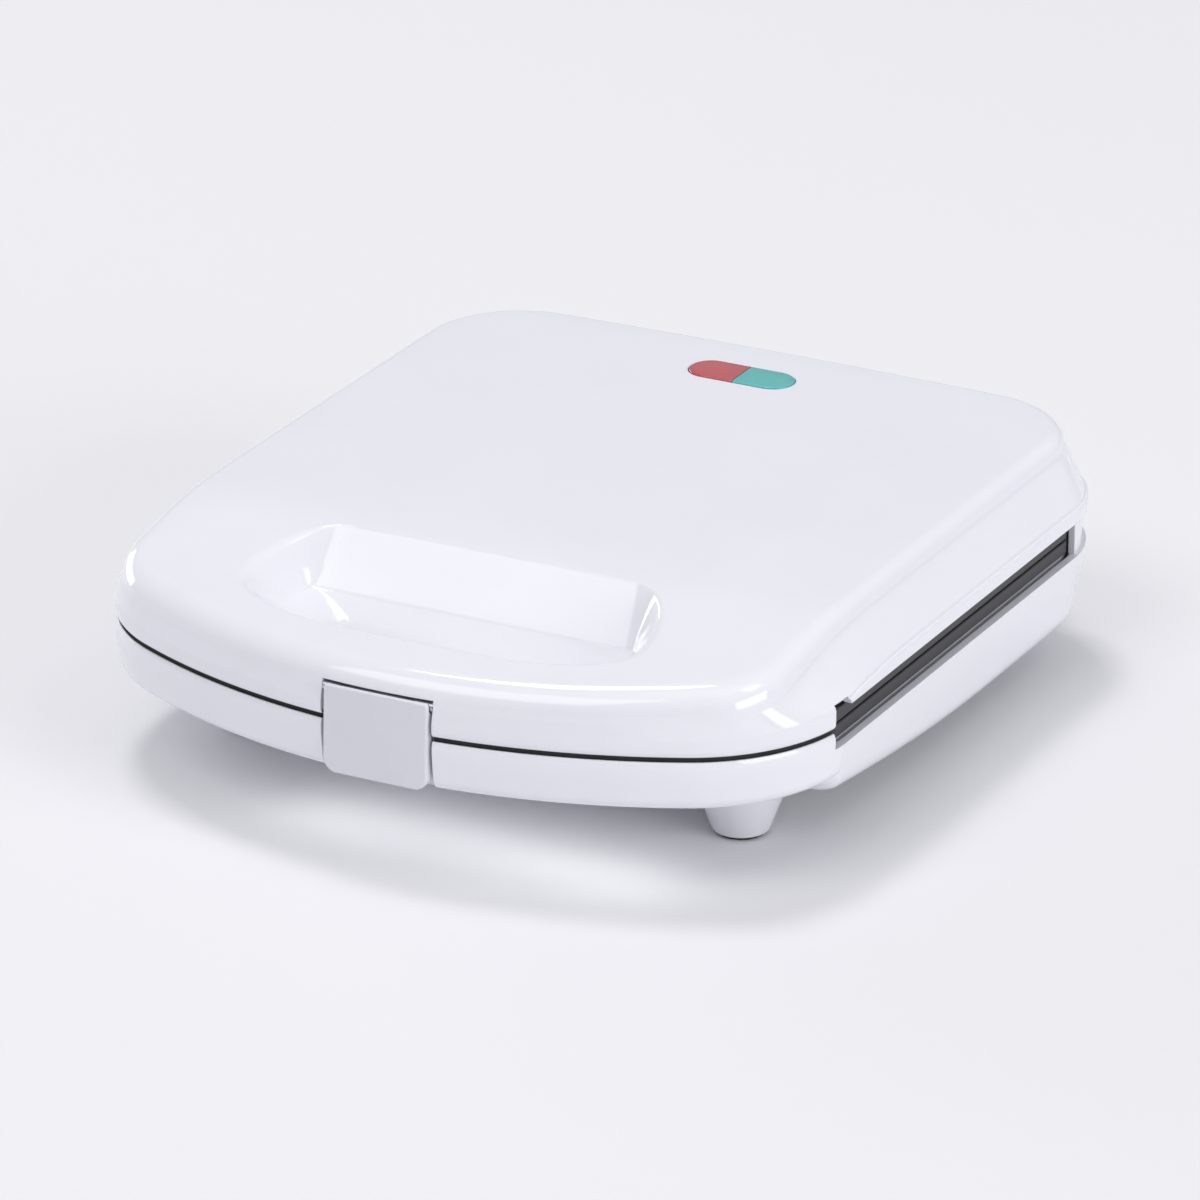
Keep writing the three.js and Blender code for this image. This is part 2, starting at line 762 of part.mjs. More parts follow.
function hingeEars(side) {
  const start = hinge.lugX - hinge.lugWidth / 2 - fit;
  const end = hinge.lugX + hinge.lugWidth / 2 + fit;
  return [[start - hinge.earWidth, start], [end, end + hinge.earWidth]].map(([near, far]) => {
    const x0 = Math.min(side * near, side * far);
    const x1 = Math.max(side * near, side * far);
    const root = bodyDepth - wall - base.shroudInset / 2;
    const web = prismAlongX([
      [root, pinZ - hinge.earRoot],
      [bodyDepth - wall / 2, pinZ - hinge.earRoot],
      [pinY + hinge.earLip, pinZ - hinge.earLip],
      [pinY, pinZ + hinge.radius],
      [root, pinZ + hinge.radius],
    ], x0, x1);
    return join(web, drumAlongX(hinge.radius, x0, x1, pinY, pinZ, fineSteps));
  });
}

const feet = [
  ['front_left', -foot.frontX, foot.frontY],
  ['front_right', foot.frontX, foot.frontY],
  ['rear_left', -foot.rearX, foot.rearY],
  ['rear_right', foot.rearX, foot.rearY],
];
const floorZ = -seamHeight;
const footTip = floorZ + foot.tipGap;
const footRadius = (z) => foot.tipRadius + (z - footTip) * foot.taper;
const gripFloor = -base.gripBottom + wall;
const bellyFloor = (y) => bellyDepth(y) + wall;
const deckGripBottom = -lidEdge - deck.thickness;
const flangeTop = -sideGap.half;
const flangeBottom = flangeTop - deck.flange;
const gripScrewHead = -base.gripBottom + screw.sinkWall;
const rearScrewHead = bellyDepth(screw.rearY) + screw.sinkWall;
const ledgeTop = latch.bottom + latch.hookHeight + fit + latch.ledgeHeight;

function makeBaseHousing() {
  const gripRear = base.bellyFront + base.bellyFrontCorner;
  const gripReach = box(-bodyWidth, bodyWidth, -overrun, gripRear, -bodyDepth, bodyDepth);
  const gripSlab = gripForm(0).intersect(gripReach);
  let housing = join(gripSlab, bellyForm(0));
  feet.forEach(([, x, y]) => {
    const top = (y < bodyDepth / 2 ? -base.gripBottom : bellyDepth(y)) + wall / 2;
    housing = join(housing, drum(foot.tipRadius, footTip, top, x, y, footSteps, footRadius(top)));
  });
  const grip = gripForm(wall);
  const gripEnd = box(-bodyWidth, bodyWidth, -overrun, base.bellyFront + wall * 2, -bodyDepth, bodyDepth);
  const hollow = join(grip.intersect(gripEnd), bellyForm(wall));
  housing = housing.subtract(hollow);
  // The front feet reach up past the belly to the grip, so they are cored
  feet.filter(([, , y]) => y < bodyDepth / 2).forEach(([, x, y]) => {
    const start = footTip + foot.coreStart;
    const core = drum(footRadius(start) - wall, start, -base.gripBottom, x, y, footSteps,
      footRadius(-base.gripBottom) - wall);
    housing = cut(housing, core);
  });
  // Side and rear walls stop below the plates' rims
  const gapReach = bodyDepth + overrun;
  housing = housing.subtract(box(-bodyWidth, bodyWidth, sideGap.front, gapReach, -sideGap.half, overrun));
  const shroud = seamPlan(base.shroudInset);
  const shroudHollow = seamPlan(base.shroudInset + base.shroudWall);
  const shroudBottom = -sideGap.half - base.shroudLap;
  const ring = loft([shroudBottom, base.shroudTop].map((z) => shroud.map(([x, y]) => [x, y, z])))
    .subtract(loft([-overrun, overrun].map((z) => shroudHollow.map(([x, y]) => [x, y, z]))))
    .intersect(box(-bodyWidth, bodyWidth, bodyDepth - base.shroudSetback, bodyDepth, -overrun, overrun));
  housing = join(housing, ring, ...mirrored((side) => join(...hingeEars(side))));
  // Latch pocket with the ledge that the hook grips
  const latchHalf = latch.halfWidth + latch.notchGap;
  const blockHalf = latchHalf + latch.cheekWall;
  const pocketRear = latch.pocketDepth - wall;
  const pocketBlock = box(-blockHalf, blockHalf, base.edgeRound + wall / 2, latch.pocketDepth,
    gripFloor - wall / 2, -lidEdge);
  const pocket = box(-latchHalf, latchHalf, -overrun, pocketRear, -overrun, overrun);
  const ledgeFront = latch.front + latch.thickness + fit;
  const ledge = box(-latch.ledgeHalfWidth, latch.ledgeHalfWidth, ledgeFront, pocketRear + wall / 2,
    ledgeTop - latch.ledgeHeight, ledgeTop);
  housing = join(cut(join(housing, pocketBlock), pocket), ledge);
  // Screw bosses, the seat of the terminal block and the pad round the cord inlet
  mirrored((side) => {
    const x = side * screw.rearX;
    housing = join(housing, boss(x, screw.rearY, bellyDepth(screw.rearY) + wall / 2, flangeBottom - fit));
    const frontX = side * screw.frontX;
    housing = join(housing, boss(frontX, screw.frontY, gripFloor - wall / 2, deckGripBottom - fit));
  });
  const seat = box(-block.width / 2, block.width / 2, block.y - block.depth / 2, block.y + block.depth / 2,
    bellyFloor(block.y) - wall / 2, bellyFloor(block.y) + block.seatHeight);
  const padRear = inletFace + inlet.wall;
  const pad = drumAlongY(inlet.bossRadius, inletFace, padRear, inlet.x, inlet.z, fineSteps);
  housing = join(housing, seat, pad);
  [
    [inlet.bossRadius, padRear, padRear + overrun],
    [inlet.holeRadius, bodyDepth - overrun, gapReach],
  ].forEach(([radius, start, end]) => {
    housing = cut(housing, drumAlongY(radius, start, end, inlet.x, inlet.z, fineSteps));
  });
  const stemEnd = footTip + foot.stemLength + fit;
  feet.forEach(([, x, y]) => {
    housing = cut(housing, drum(foot.stemRadius + fit, -bodyDepth, stemEnd, x, y, smallSteps));
  });
  mirrored((side) => {
    const x = side * hinge.lugX;
    const reach = [x - side * (pinInner + hinge.earWidth), x + side * (pinOuter + fit)];
    const [x0, x1] = reach.sort((a, b) => a - b);
    housing = cut(housing, drumAlongX(hinge.pinRadius + fit, x0, x1, pinY, pinZ));
    const places = [
      [side * screw.frontX, screw.frontY, gripScrewHead],
      [side * screw.rearX, screw.rearY, rearScrewHead],
    ];
    places.forEach(([px, py, head]) => {
      const seat = head + fit + screw.headHeight;
      housing = cut(housing, screwHole(px, py, -bodyDepth, overrun));
      housing = cut(housing, drum(screw.headRadius + fit, -bodyDepth, seat, px, py, fineSteps));
    });
  });
  return housing;
}

const pinOuter = hinge.lugWidth / 2 + fit + hinge.earWidth - hinge.pinShort;
const pinInner = hinge.lugWidth / 2 + fit + hinge.earWidth - fit;
const inletFace = bodyDepth - base.edgeRound - inlet.setIn - inlet.wall;

// Feet pads with a stem that pushes into the cone
function makeFootPad(x, y) {
  const top = footTip - fit;
  const profile = [
    [0, floorZ],
    [foot.padRadius - foot.padRound, floorZ],
    [foot.padRadius, floorZ + foot.padRound],
    [foot.padRadius, top],
    [foot.stemRadius, top],
    [foot.stemRadius, footTip + foot.stemLength],
    [0, footTip + foot.stemLength],
  ];
  return revolve(profile, x, y, fineSteps);
}

// A profile of radius and height, revolved about a vertical line
function revolve(profile, x, y, steps = roundSteps) {
  const geometry = new THREE.LatheGeometry(profile.map(([r, z]) => new THREE.Vector2(r, z)), steps);
  geometry.rotateX(Math.PI / 2);
  geometry.translate(x, y, 0);
  return solid(geometry);
}

// The same about a line along Y
function revolveAlongY(profile, x, z, steps = roundSteps) {
  const geometry = new THREE.LatheGeometry(profile.map(([r, y]) => new THREE.Vector2(r, y)), steps);
  geometry.translate(x, 0, z);
  return solid(geometry);
}

// The same about a line along X
function revolveAlongX(profile, y, z, steps = roundSteps) {
  const geometry = new THREE.LatheGeometry(profile.map(([r, x]) => new THREE.Vector2(r, x)), steps);
  geometry.rotateZ(-Math.PI / 2);
  geometry.translate(0, y, z);
  return solid(geometry);
}

// Decks: the lower one is drawn here and the upper one differs at the grip, the rear and the screws
function makeDeck(upper) {
  const way = upper ? 1 : -1;
  const level = (near, far) => [Math.min(way * near, way * far), Math.max(way * near, way * far)];
  const [flange0, flange1] = level(sideGap.half, sideGap.half + deck.flange);
  const [grip0, grip1] = level(lidEdge, lidEdge + deck.thickness);
  const outline = seamPlan(deck.flangeInset);
  const gripOutline = seamPlan(wall + fit + lid.edgeRound);
  const slab = (plan, z0, z1) => loft([z0, z1].map((z) => plan.map(([x, y]) => [x, y, z])));
  const riserRear = deck.riserFront + deck.riserWall;
  const [riser0, riser1] = level(lidEdge, sideGap.half + deck.flange);
  const rearPart = slab(outline, flange0, flange1)
    .intersect(box(-bodyWidth, bodyWidth, deck.riserFront, bodyDepth - wall * 2, -overrun, overrun));
  const gripPart = slab(gripOutline, grip0, grip1)
    .intersect(box(-bodyWidth, bodyWidth, -overrun, riserRear, -overrun, overrun));
  const riser = slab(outline, riser0, riser1)
    .intersect(box(-bodyWidth, bodyWidth, deck.riserFront, riserRear, -overrun, overrun));
  let frame = join(rearPart, gripPart, riser);
  frame = frame.subtract(prism(roundedRect(-deck.windowHalfWidth, deck.windowHalfWidth, deck.windowFront,
    deck.windowRear, deck.windowCorner), -overrun, overrun, 4));
  frame = frame.subtract(box(-deck.latchHalfWidth, deck.latchHalfWidth, -overrun, deck.latchDepth,
    -overrun, overrun));
  mirrored((side) => {
    const frontX = side * (upper ? screw.lidFrontX : screw.frontX);
    const frontY = upper ? screw.lidFrontY : screw.frontY;
    if (upper) {
      const cup = screw.headRadius + fit + screw.sinkWall;
      frame = join(frame, drum(cup, lidEdge, lidFrontBoss - fit, frontX, frontY, fineSteps));
      const headTop = upperFrontHead + fit;
      frame = cut(frame, drum(screw.headRadius + fit, -overrun, headTop, frontX, frontY, fineSteps));
      frame = cut(frame, screwHole(frontX, frontY, -overrun, overrun));
      frame = cut(frame, screwHole(side * screw.rearX, screw.rearY, -overrun, overrun));
    } else {
      const holeEnd = deckGripBottom + deck.thickness / 2;
      frame = cut(frame, screwHole(frontX, frontY, deckGripBottom - overrun, holeEnd));
      frame = cut(frame, screwHole(side * screw.rearX, screw.rearY, -overrun, overrun));
    }
  });
  return frame;
}

const upperFrontHead = lidEdge + screw.headHeight + fit * 2;

// A piece drawn for the lid, turned over for the base
function turnedOver(piece) {
  const { vertProperties, triVerts } = piece.getMesh();
  const turned = Float32Array.from(vertProperties, (value, i) => (i % 3 === 2 ? -value : value));
  const faces = Uint32Array.from(triVerts);
  for (let i = 0; i < faces.length; i += 3) {
    [faces[i], faces[i + 1]] = [faces[i + 1], faces[i]];
  }
  return new wasm.Manifold(new wasm.Mesh({ numProp: 3, vertProperties: turned, triVerts: faces }));
}

// One triangle of a pocket, in plan: two legs along X and Y and a long side on the diagonal
function pocketPlan(side, frontHalf, draw) {
  const near = frontHalf ? plate.pocketInner : plate.pocketOuter;
  const legX = near + (frontHalf ? draw : -draw);
  const legY = frontHalf ? plate.pocketFront + draw : plate.pocketRear - draw;
  const run = plate.pocketOuter - plate.pocketInner;
  const rise = plate.pocketRear - plate.pocketFront;
  const away = (plate.ridgeHalfWidth + draw) * (frontHalf ? -1 : 1);
  const shiftY = away * (Math.hypot(run, rise) / run);
  const diagonalY = (x) => plate.pocketRear + shiftY - ((x - plate.pocketInner) * rise) / run;
  const diagonalX = (y) => plate.pocketInner + ((plate.pocketRear + shiftY - y) * run) / rise;
  const points = [
    new THREE.Vector2(legX, legY),
    new THREE.Vector2(diagonalX(legY), legY),
    new THREE.Vector2(legX, diagonalY(legX)),
  ];
  const plan = roundCorners(points, plate.pocketCorner).map(([x, y]) => [side * x, y]);
  return side > 0 ? plan : plan.reverse();
}

// Rounds each corner of a triangle with a curve between points set back along its edges
function roundCorners(points, radius) {
  const shape = new THREE.Shape();
  points.forEach((point, i) => {
    const before = points[(i + points.length - 1) % points.length];
    const after = points[(i + 1) % points.length];
    const entry = point.clone().lerp(before, radius / point.distanceTo(before));
    const exit = point.clone().lerp(after, radius / point.distanceTo(after));
    if (i === 0) shape.moveTo(entry.x, entry.y);
    else shape.lineTo(entry.x, entry.y);
    shape.quadraticCurveTo(point.x, point.y, exit.x, exit.y);
  });
  return shape.getPoints(3).map(({ x, y }) => [x, y]);
}

const pockets = [[1, true], [1, false], [-1, true], [-1, false]];

function pocketForm(side, frontHalf, grow, start) {
  const depth = plate.pocketDepth + grow;
  const lean = plate.pocketDraft / plate.pocketDepth;
  return loft([start, depth].map((z) => {
    const draw = lean * z - grow;
    return pocketPlan(side, frontHalf, draw).map(([x, y]) => [x, y, z]);
  }));
}

// Cooking plate for the lid: face down at the seam, pockets pressed upwards
function makeCookingPlate() {
  const { halfWidth: half, front, rear, cornerRadius: corner, faceGap, thickness } = plate;
  const back = faceGap + thickness;
  const step = plate.rimStepDepth;
  const stepZ = plate.rim - plate.rimStep;
  let casting = join(
    prism(roundedRect(-half, half, front, rear, corner), faceGap, stepZ, 3),
    prism(roundedRect(step - half, half - step, front + step, rear - step, corner - step),
      stepZ, plate.rim, 3),
  );
  const inner = half - thickness;
  casting = casting.subtract(prism(roundedRect(-inner, inner, front + thickness, rear - thickness,
    corner - thickness), back, overrun, 3));
  const boss = drum(plate.bossRadius, faceGap, stripZ - fit, 0, plate.bossY, fineSteps);
  const pocketForms = (grow, start) => pockets.map(([side, ahead]) => pocketForm(side, ahead, grow, start));
  casting = join(casting, boss, ...pocketForms(plate.pocketWall, faceGap));
  casting = cut(casting, ...pocketForms(0, -faceGap));
  const channel = (offset) => prism(roundedRect(-plate.pocketOuter - offset, plate.pocketOuter + offset,
    plate.pocketFront - offset, plate.pocketRear + offset, plate.pocketCorner + offset),
  -faceGap, faceGap + plate.channelDepth, 3);
  const outerEdge = plate.channelOffset + plate.channelWidth;
  casting = casting.subtract(channel(outerEdge).subtract(channel(plate.channelOffset)));
  const boltHole = drum(plateBolt.shankRadius + fit, boltSeat - plateBolt.length - fit, overrun + stripZ,
    0, plate.bossY, smallSteps);
  return casting.subtract(boltHole);
}

// A route through corner points, with each corner rounded into even steps
class RoundedRoute extends THREE.Curve {
  constructor(corners, bend, bendSteps) {
    super();
    this.stations = [corners[0]];
    corners.slice(1, -1).forEach((corner, i) => {
      const entry = corner.clone().add(corners[i].clone().sub(corner).setLength(bend));
      const exit = corner.clone().add(corners[i + 2].clone().sub(corner).setLength(bend));
      const arc = new THREE.QuadraticBezierCurve3(entry, corner, exit);
      this.stations.push(...arc.getPoints(bendSteps));
    });
    this.stations.push(corners[corners.length - 1]);
    this.steps = this.stations.length - 1;
  }

  getPoint(t, target = new THREE.Vector3()) {
    const place = Math.min(t * this.steps, this.steps - 1e-9);
    const start = Math.floor(place);
    return target.lerpVectors(this.stations[start], this.stations[start + 1], place - start);
  }

  getPointAt(u, target) {
    return this.getPoint(u, target);
  }

  getTangentAt(u, target = new THREE.Vector3()) {
    const i = Math.round(u * this.steps);
    const before = this.stations[Math.max(0, i - 1)];
    const after = this.stations[Math.min(this.steps, i + 1)];
    return target.subVectors(after, before).normalize();
  }
}

// Tubular heating element, a loop behind the pockets with both ends at the rear
function makeElement() {
  const { halfWidth: half, front, rear, legHalfGap, end } = heater;
  const places = [[-legHalfGap, end], [-legHalfGap, rear], [-half, rear], [-half, front],
    [half, front], [half, rear], [legHalfGap, rear], [legHalfGap, end]];
  const route = new RoundedRoute(places.map(([x, y]) => new THREE.Vector3(x, y, elementZ)), heater.bend, 3);
  const section = new THREE.Shape();
  section.absarc(0, 0, heater.tubeRadius, 0, Math.PI * 2, false);
  const geometry = new THREE.ExtrudeGeometry(section, {
    steps: route.steps,
    extrudePath: route,
    curveSegments: 4,
  });
  return solid(geometry);
}

// Porcelain sleeve round one end of the element, where it leaves the pan
function makeSleeve(side) {
  const { sleeveStart: start, sleeveRadius: outer, tubeRadius } = heater;
  const bore = tubeRadius + fit;
  const end = start + heater.sleeveLength;
  const profile = [[bore, start], [outer, start], [outer, end], [bore, end], [bore, start]];
  return revolveAlongY(profile, side * heater.legHalfGap, elementZ, fineSteps);
}

// Strip that holds the element against the plate
function makeStrip() {
  const half = heater.halfWidth + heater.stripOverhang;
  const strip = box(-half, half, plate.bossY - heater.stripWidth / 2, plate.bossY + heater.stripWidth / 2,
    stripZ, stripZ + heater.stripThickness);
  return strip.subtract(drum(plateBolt.shankRadius + fit, 0, overrun * 2, 0, plate.bossY, smallSteps));
}

function rectRing(half, front, rear, corner, z) {
  return roundedRect(-half, half, front, rear, corner).getPoints(2).slice(0, -1).map(({ x, y }) => [x, y, z]);
}

// Sheet pan that reflects the heat, with a flange behind the deck
function makePan() {
  const { sheet: gauge, topHalfWidth, topFront, topRear, corner } = pan;
  const floorHalfWidth = topHalfWidth - pan.sideSlope;
  const floorFront = topFront + pan.frontSlope;
  const floorRear = topRear - pan.rearSlope;
  const outer = loft([
    rectRing(topHalfWidth, topFront, topRear, corner, panTop),
    rectRing(floorHalfWidth, floorFront, floorRear, corner, panFloor + gauge),
  ]);
  const inner = loft([
    rectRing(topHalfWidth - gauge, topFront + gauge, topRear - gauge, corner, panTop - gauge),
    rectRing(topHalfWidth - gauge, topFront + gauge, topRear - gauge, corner, panTop),
    rectRing(floorHalfWidth - gauge, floorFront + gauge, floorRear - gauge, corner, panFloor),
  ]);
  const reach = pan.flangeWidth;
  const flange = prism(roundedRect(-topHalfWidth - reach, topHalfWidth + reach, topFront - reach,
    topRear + reach, corner + reach), panTop, panTop + gauge, 3);
  let tray = join(flange, outer).subtract(inner);
  mirrored((side) => {
    tray = tray.subtract(drumAlongY(heater.sleeveRadius + fit, heater.rear + heater.bend, bodyDepth,
      side * heater.legHalfGap, elementZ, fineSteps));
  });
  return tray.subtract(drum(plateBolt.shankRadius + fit, 0, overrun * 2, 0, plate.bossY, smallSteps));
}

// A screw standing up from its seat, head below
function makeScrew(x, y, seat, end, head = screw) {
  const profile = [
    [0, seat - head.headHeight],
    [head.headRadius * 0.7, seat - head.headHeight],
    [head.headRadius, seat],
    [head.shankRadius, seat],
    [head.shankRadius, end - head.shankRadius / 2],
    [head.shankRadius / 2, end],
    [0, end],
  ];
  return revolve(profile, x, y, 10);
}

// The bolt comes from behind the pan, so it is a screw turned over
function makePlateBolt() {
  return turnedOver(makeScrew(0, plate.bossY, -boltSeat, -boltSeat + plateBolt.length, plateBolt));
}

function makeLatch() {
  const { halfWidth: half, top, bottom, front, lean, thickness, cornerRadius } = latch;
  const soft = thickness / 4;
  const face = new THREE.Shape();
  const cornerTop = bottom + soft + cornerRadius;
  face.moveTo(-half + soft, top - soft);
  face.lineTo(-half + soft, cornerTop);
  face.quadraticCurveTo(-half + soft, bottom + soft, -half + soft + cornerRadius, bottom + soft);
  face.lineTo(half - soft - cornerRadius, bottom + soft);
  face.quadraticCurveTo(half - soft, bottom + soft, half - soft, cornerTop);
  face.lineTo(half - soft, top - soft);
  const geometry = new THREE.ExtrudeGeometry(face, {
    depth: thickness - soft * 2,
    bevelThickness: soft,
    bevelSize: soft,
    bevelSegments: 2,
    curveSegments: 5,
  });
  geometry.rotateX(Math.PI / 2);
  geometry.applyMatrix4(new THREE.Matrix4().makeShear(0, 0, 0, 0, 0, lean));
  geometry.translate(0, front + thickness - soft - lean * bottom, 0);
  const back = front + thickness;
  const barrel = drumAlongX(latch.barrelRadius, -latch.barrelHalfWidth, latch.barrelHalfWidth,
    latch.pinDepth, latch.pinHeight, fineSteps);
  const hook = prismAlongX([
    [back - soft, bottom + soft / 2],
    [back + latch.hookReach / 2, bottom + soft / 2],
    [back + latch.hookReach, bottom + latch.hookHeight / 2],
    [back + latch.hookReach, bottom + latch.hookHeight],
    [back - soft, bottom + latch.hookHeight],
  ], -latch.hookHalfWidth, latch.hookHalfWidth);
  const pinHole = drumAlongX(latch.pinRadius + fit, -half - overrun, half + overrun,
    latch.pinDepth, latch.pinHeight);
  return join(solid(geometry), barrel, hook).subtract(pinHole);
}

function makePin(x0, x1, radius, y, z) {
  const end = radius / 3;
  const profile = [
    [0, x0],
    [radius - end, x0],
    [radius, x0 + end],
    [radius, x1 - end],
    [radius - end, x1],
    [0, x1],
  ];
  return revolveAlongX(profile, y, z, fineSteps);
}

function makeLens(side) {
  const top = topHeight(0, light.y) + light.proud;
  const lens = join(
    pill(0, lensSeat - fit - light.flangeThickness, top),
    pill(light.flangeLap, lensSeat - fit - light.flangeThickness, lensSeat - fit),
  );
  const start = side > 0 ? fit / 2 : -light.length;
  const end = side > 0 ? light.length : -fit / 2;
  const hollow = pill(-light.lensThickness, 0, top - light.lensThickness);
  return lens.subtract(hollow).intersect(box(start, end, 0, bodyDepth, 0, bodyDepth));
}

function makeCarrier() {
  const { carrierHalfLength: half, carrierHalfWidth: width, cradleWidth } = light;
  const underside = carrierTop - light.carrierThickness;
  let carrier = box(-half, half, light.y - width, light.y + width, underside, carrierTop);
  mirrored((side) => {
    mirrored((end) => {
      const x = side * light.bulbX + (end * (light.bulbLength - cradleWidth * 2)) / 2;
      const reach = light.bulbRadius + fit * 4;
      carrier = join(carrier, box(x - cradleWidth / 2, x + cradleWidth / 2, light.y - reach, light.y + reach,
        carrierTop - light.carrierThickness / 2, lampHeight));
    });
    carrier = cut(carrier, drum(light.screwRadius + fit, 0, bodyDepth, side * light.postX, light.y, 10));
    const start = side * light.bulbX - light.bulbLength / 2;
    carrier = cut(carrier, drumAlongX(light.bulbRadius + fit, start - fit, start + light.bulbLength + fit,
      light.y, lampHeight));
  });
  return carrier;
}

function makeBulb(side) {
  const start = side * light.bulbX - light.bulbLength / 2 + fit;
  const end = start + light.bulbLength - fit * 2;
  const r = light.bulbRadius;
  const dome = [0, 1, 2, 3, 4].map((i) => {
    const angle = (Math.PI / 8) * i;
    return [r * Math.cos(angle), end - r + r * Math.sin(angle)];
  });
  const profile = [[0, start], [r * 0.6, start], [r, start + r / 2], ...dome];
  profile[profile.length - 1][0] = 0;
  return revolveAlongX(profile, light.y, lampHeight, smallSteps);
}

function makeThermostat() {
  const { x, y, radius, height, tabWidth, tabThickness, tabLength } = thermostat;
  const top = -boltSeat;
  const body = drum(radius, top - height, top, x, y, fineSteps);
  const middle = top - height * 0.6;
  const tabs = box(x - radius - tabLength, x + radius + tabLength, y - tabWidth / 2, y + tabWidth / 2,
    middle, middle + tabThickness);
  const skirt = drum(radius * 0.8, top - height - tabThickness, top - height + tabThickness, x, y, fineSteps);
  return join(body, tabs, skirt);
}

function makeFuse() {
  const { x, y, radius, length, coneLength, leadRadius, leadLength } = fuse;
  const reach = length / 2;
  const profile = [
    [0, x - reach - leadLength],
    [leadRadius, x - reach - leadLength],
    [leadRadius, x - reach - coneLength],
    [radius, x - reach],
    [radius, x + reach],
    [leadRadius, x + reach],
    [leadRadius, x + reach + leadLength],
    [0, x + reach + leadLength],
  ];
  return revolveAlongX(profile, y, -boltSeat - radius, smallSteps);
}

function makeTerminalBlock() {
  const { width, depth, height, y, pitch } = block;
  const bottom = bellyFloor(y) + block.seatHeight + fit;
  const top = bottom + height;
  const middle = (bottom + top) / 2;
  let body = box(-width / 2, width / 2, y - depth / 2, y + depth / 2, bottom, top);
  // A groove parts the poles, and each pole has a wire bore and a screw well
  body = body.subtract(box(-pitch / 8, pitch / 8, y - depth, y + depth, middle + height / 6, top + overrun));
  mirrored((side) => {
    const x = (side * pitch) / 2 + side * (pitch / 8);
    body = cut(body, drumAlongY(block.boreRadius, y - depth, y + depth, x, middle - height / 8, smallSteps));
    body = cut(body, drum(block.boreRadius, middle, top + overrun, x, y, smallSteps));
  });
  return body;
}

function makeGrommet() {
  const { boreRadius, flangeRadius, flange } = inlet;
  const neck = inlet.holeRadius - fit;
  const inner = inletFace - fit;
  const outer = inletFace + inlet.wall + fit;
  const profile = [
    [boreRadius, inner - flange],
    [flangeRadius, inner - flange],
    [flangeRadius, inner],
    [neck, inner],
    [neck, outer],
    [flangeRadius, outer],
    [flangeRadius - flange / 2, outer + flange],
    [boreRadius, outer + flange],
    [boreRadius, inner - flange],
  ];
  return revolveAlongY(profile, inlet.x, inlet.z, fineSteps);
}

// A finished solid becomes a named mesh
function named(name, piece, finish) {
  const { vertProperties, triVerts } = piece.getMesh();
  const geometry = new THREE.BufferGeometry();
  geometry.setAttribute('position', new THREE.Float32BufferAttribute(vertProperties, 3));
  geometry.setIndex(Array.from(triVerts));
  geometry.computeVertexNormals();
  const mesh = new THREE.Mesh(geometry, new THREE.MeshStandardMaterial(finish));
  mesh.name = name;
  return mesh;
}

const baseBody = new THREE.Group();
const lidBody = new THREE.Group();
const latchBody = new THREE.Group();

const sides = [['left', -1], ['right', 1]];
const cookingPlate = makeCookingPlate();
const element = makeElement();
const strip = makeStrip();
const tray = makePan();
const plateFixing = makePlateBolt();

baseBody.add(named('base_housing', makeBaseHousing(), white));
feet.forEach(([place, x, y]) => baseBody.add(named(`foot_pad_${place}`, makeFootPad(x, y), rubber)));
baseBody.add(named('lower_deck', makeDeck(false), white));
baseBody.add(named('lower_cooking_plate', turnedOver(cookingPlate), coating));
baseBody.add(named('lower_heating_element', turnedOver(element), sheath));
baseBody.add(named('lower_element_strip', turnedOver(strip), sheet));
baseBody.add(named('lower_heat_pan', turnedOver(tray), sheet));
baseBody.add(named('lower_plate_bolt', turnedOver(plateFixing), steel));
baseBody.add(named('thermostat', makeThermostat(), phenolic));
baseBody.add(named('thermal_fuse', makeFuse(), brass));
baseBody.add(named('terminal_block', makeTerminalBlock(), ceramic));
baseBody.add(named('cord_inlet_grommet', makeGrommet(), rubber));
lidBody.add(named('lid_cover', makeLidCover(), white));
lidBody.add(named('upper_deck', makeDeck(true), white));
lidBody.add(named('upper_cooking_plate', cookingPlate, coating));
lidBody.add(named('upper_heating_element', element, sheath));
lidBody.add(named('upper_element_strip', strip, sheet));
lidBody.add(named('upper_heat_pan', tray, sheet));
lidBody.add(named('upper_plate_bolt', plateFixing, steel));
lidBody.add(named('power_lens', makeLens(-1), redLens));
lidBody.add(named('ready_lens', makeLens(1), greenLens));
lidBody.add(named('lamp_carrier', makeCarrier(), phenolic));
lidBody.add(named('power_lamp', makeBulb(-1), glass));
lidBody.add(named('ready_lamp', makeBulb(1), glass));
const latchReach = latch.halfWidth + latch.notchGap + latch.cheekWall / 2 - fit;
const latchPin = makePin(-latchReach, latchReach, latch.pinRadius, latch.pinDepth, latch.pinHeight);
lidBody.add(named('latch_pin', latchPin, steel));
latchBody.add(named('latch', makeLatch(), grey));

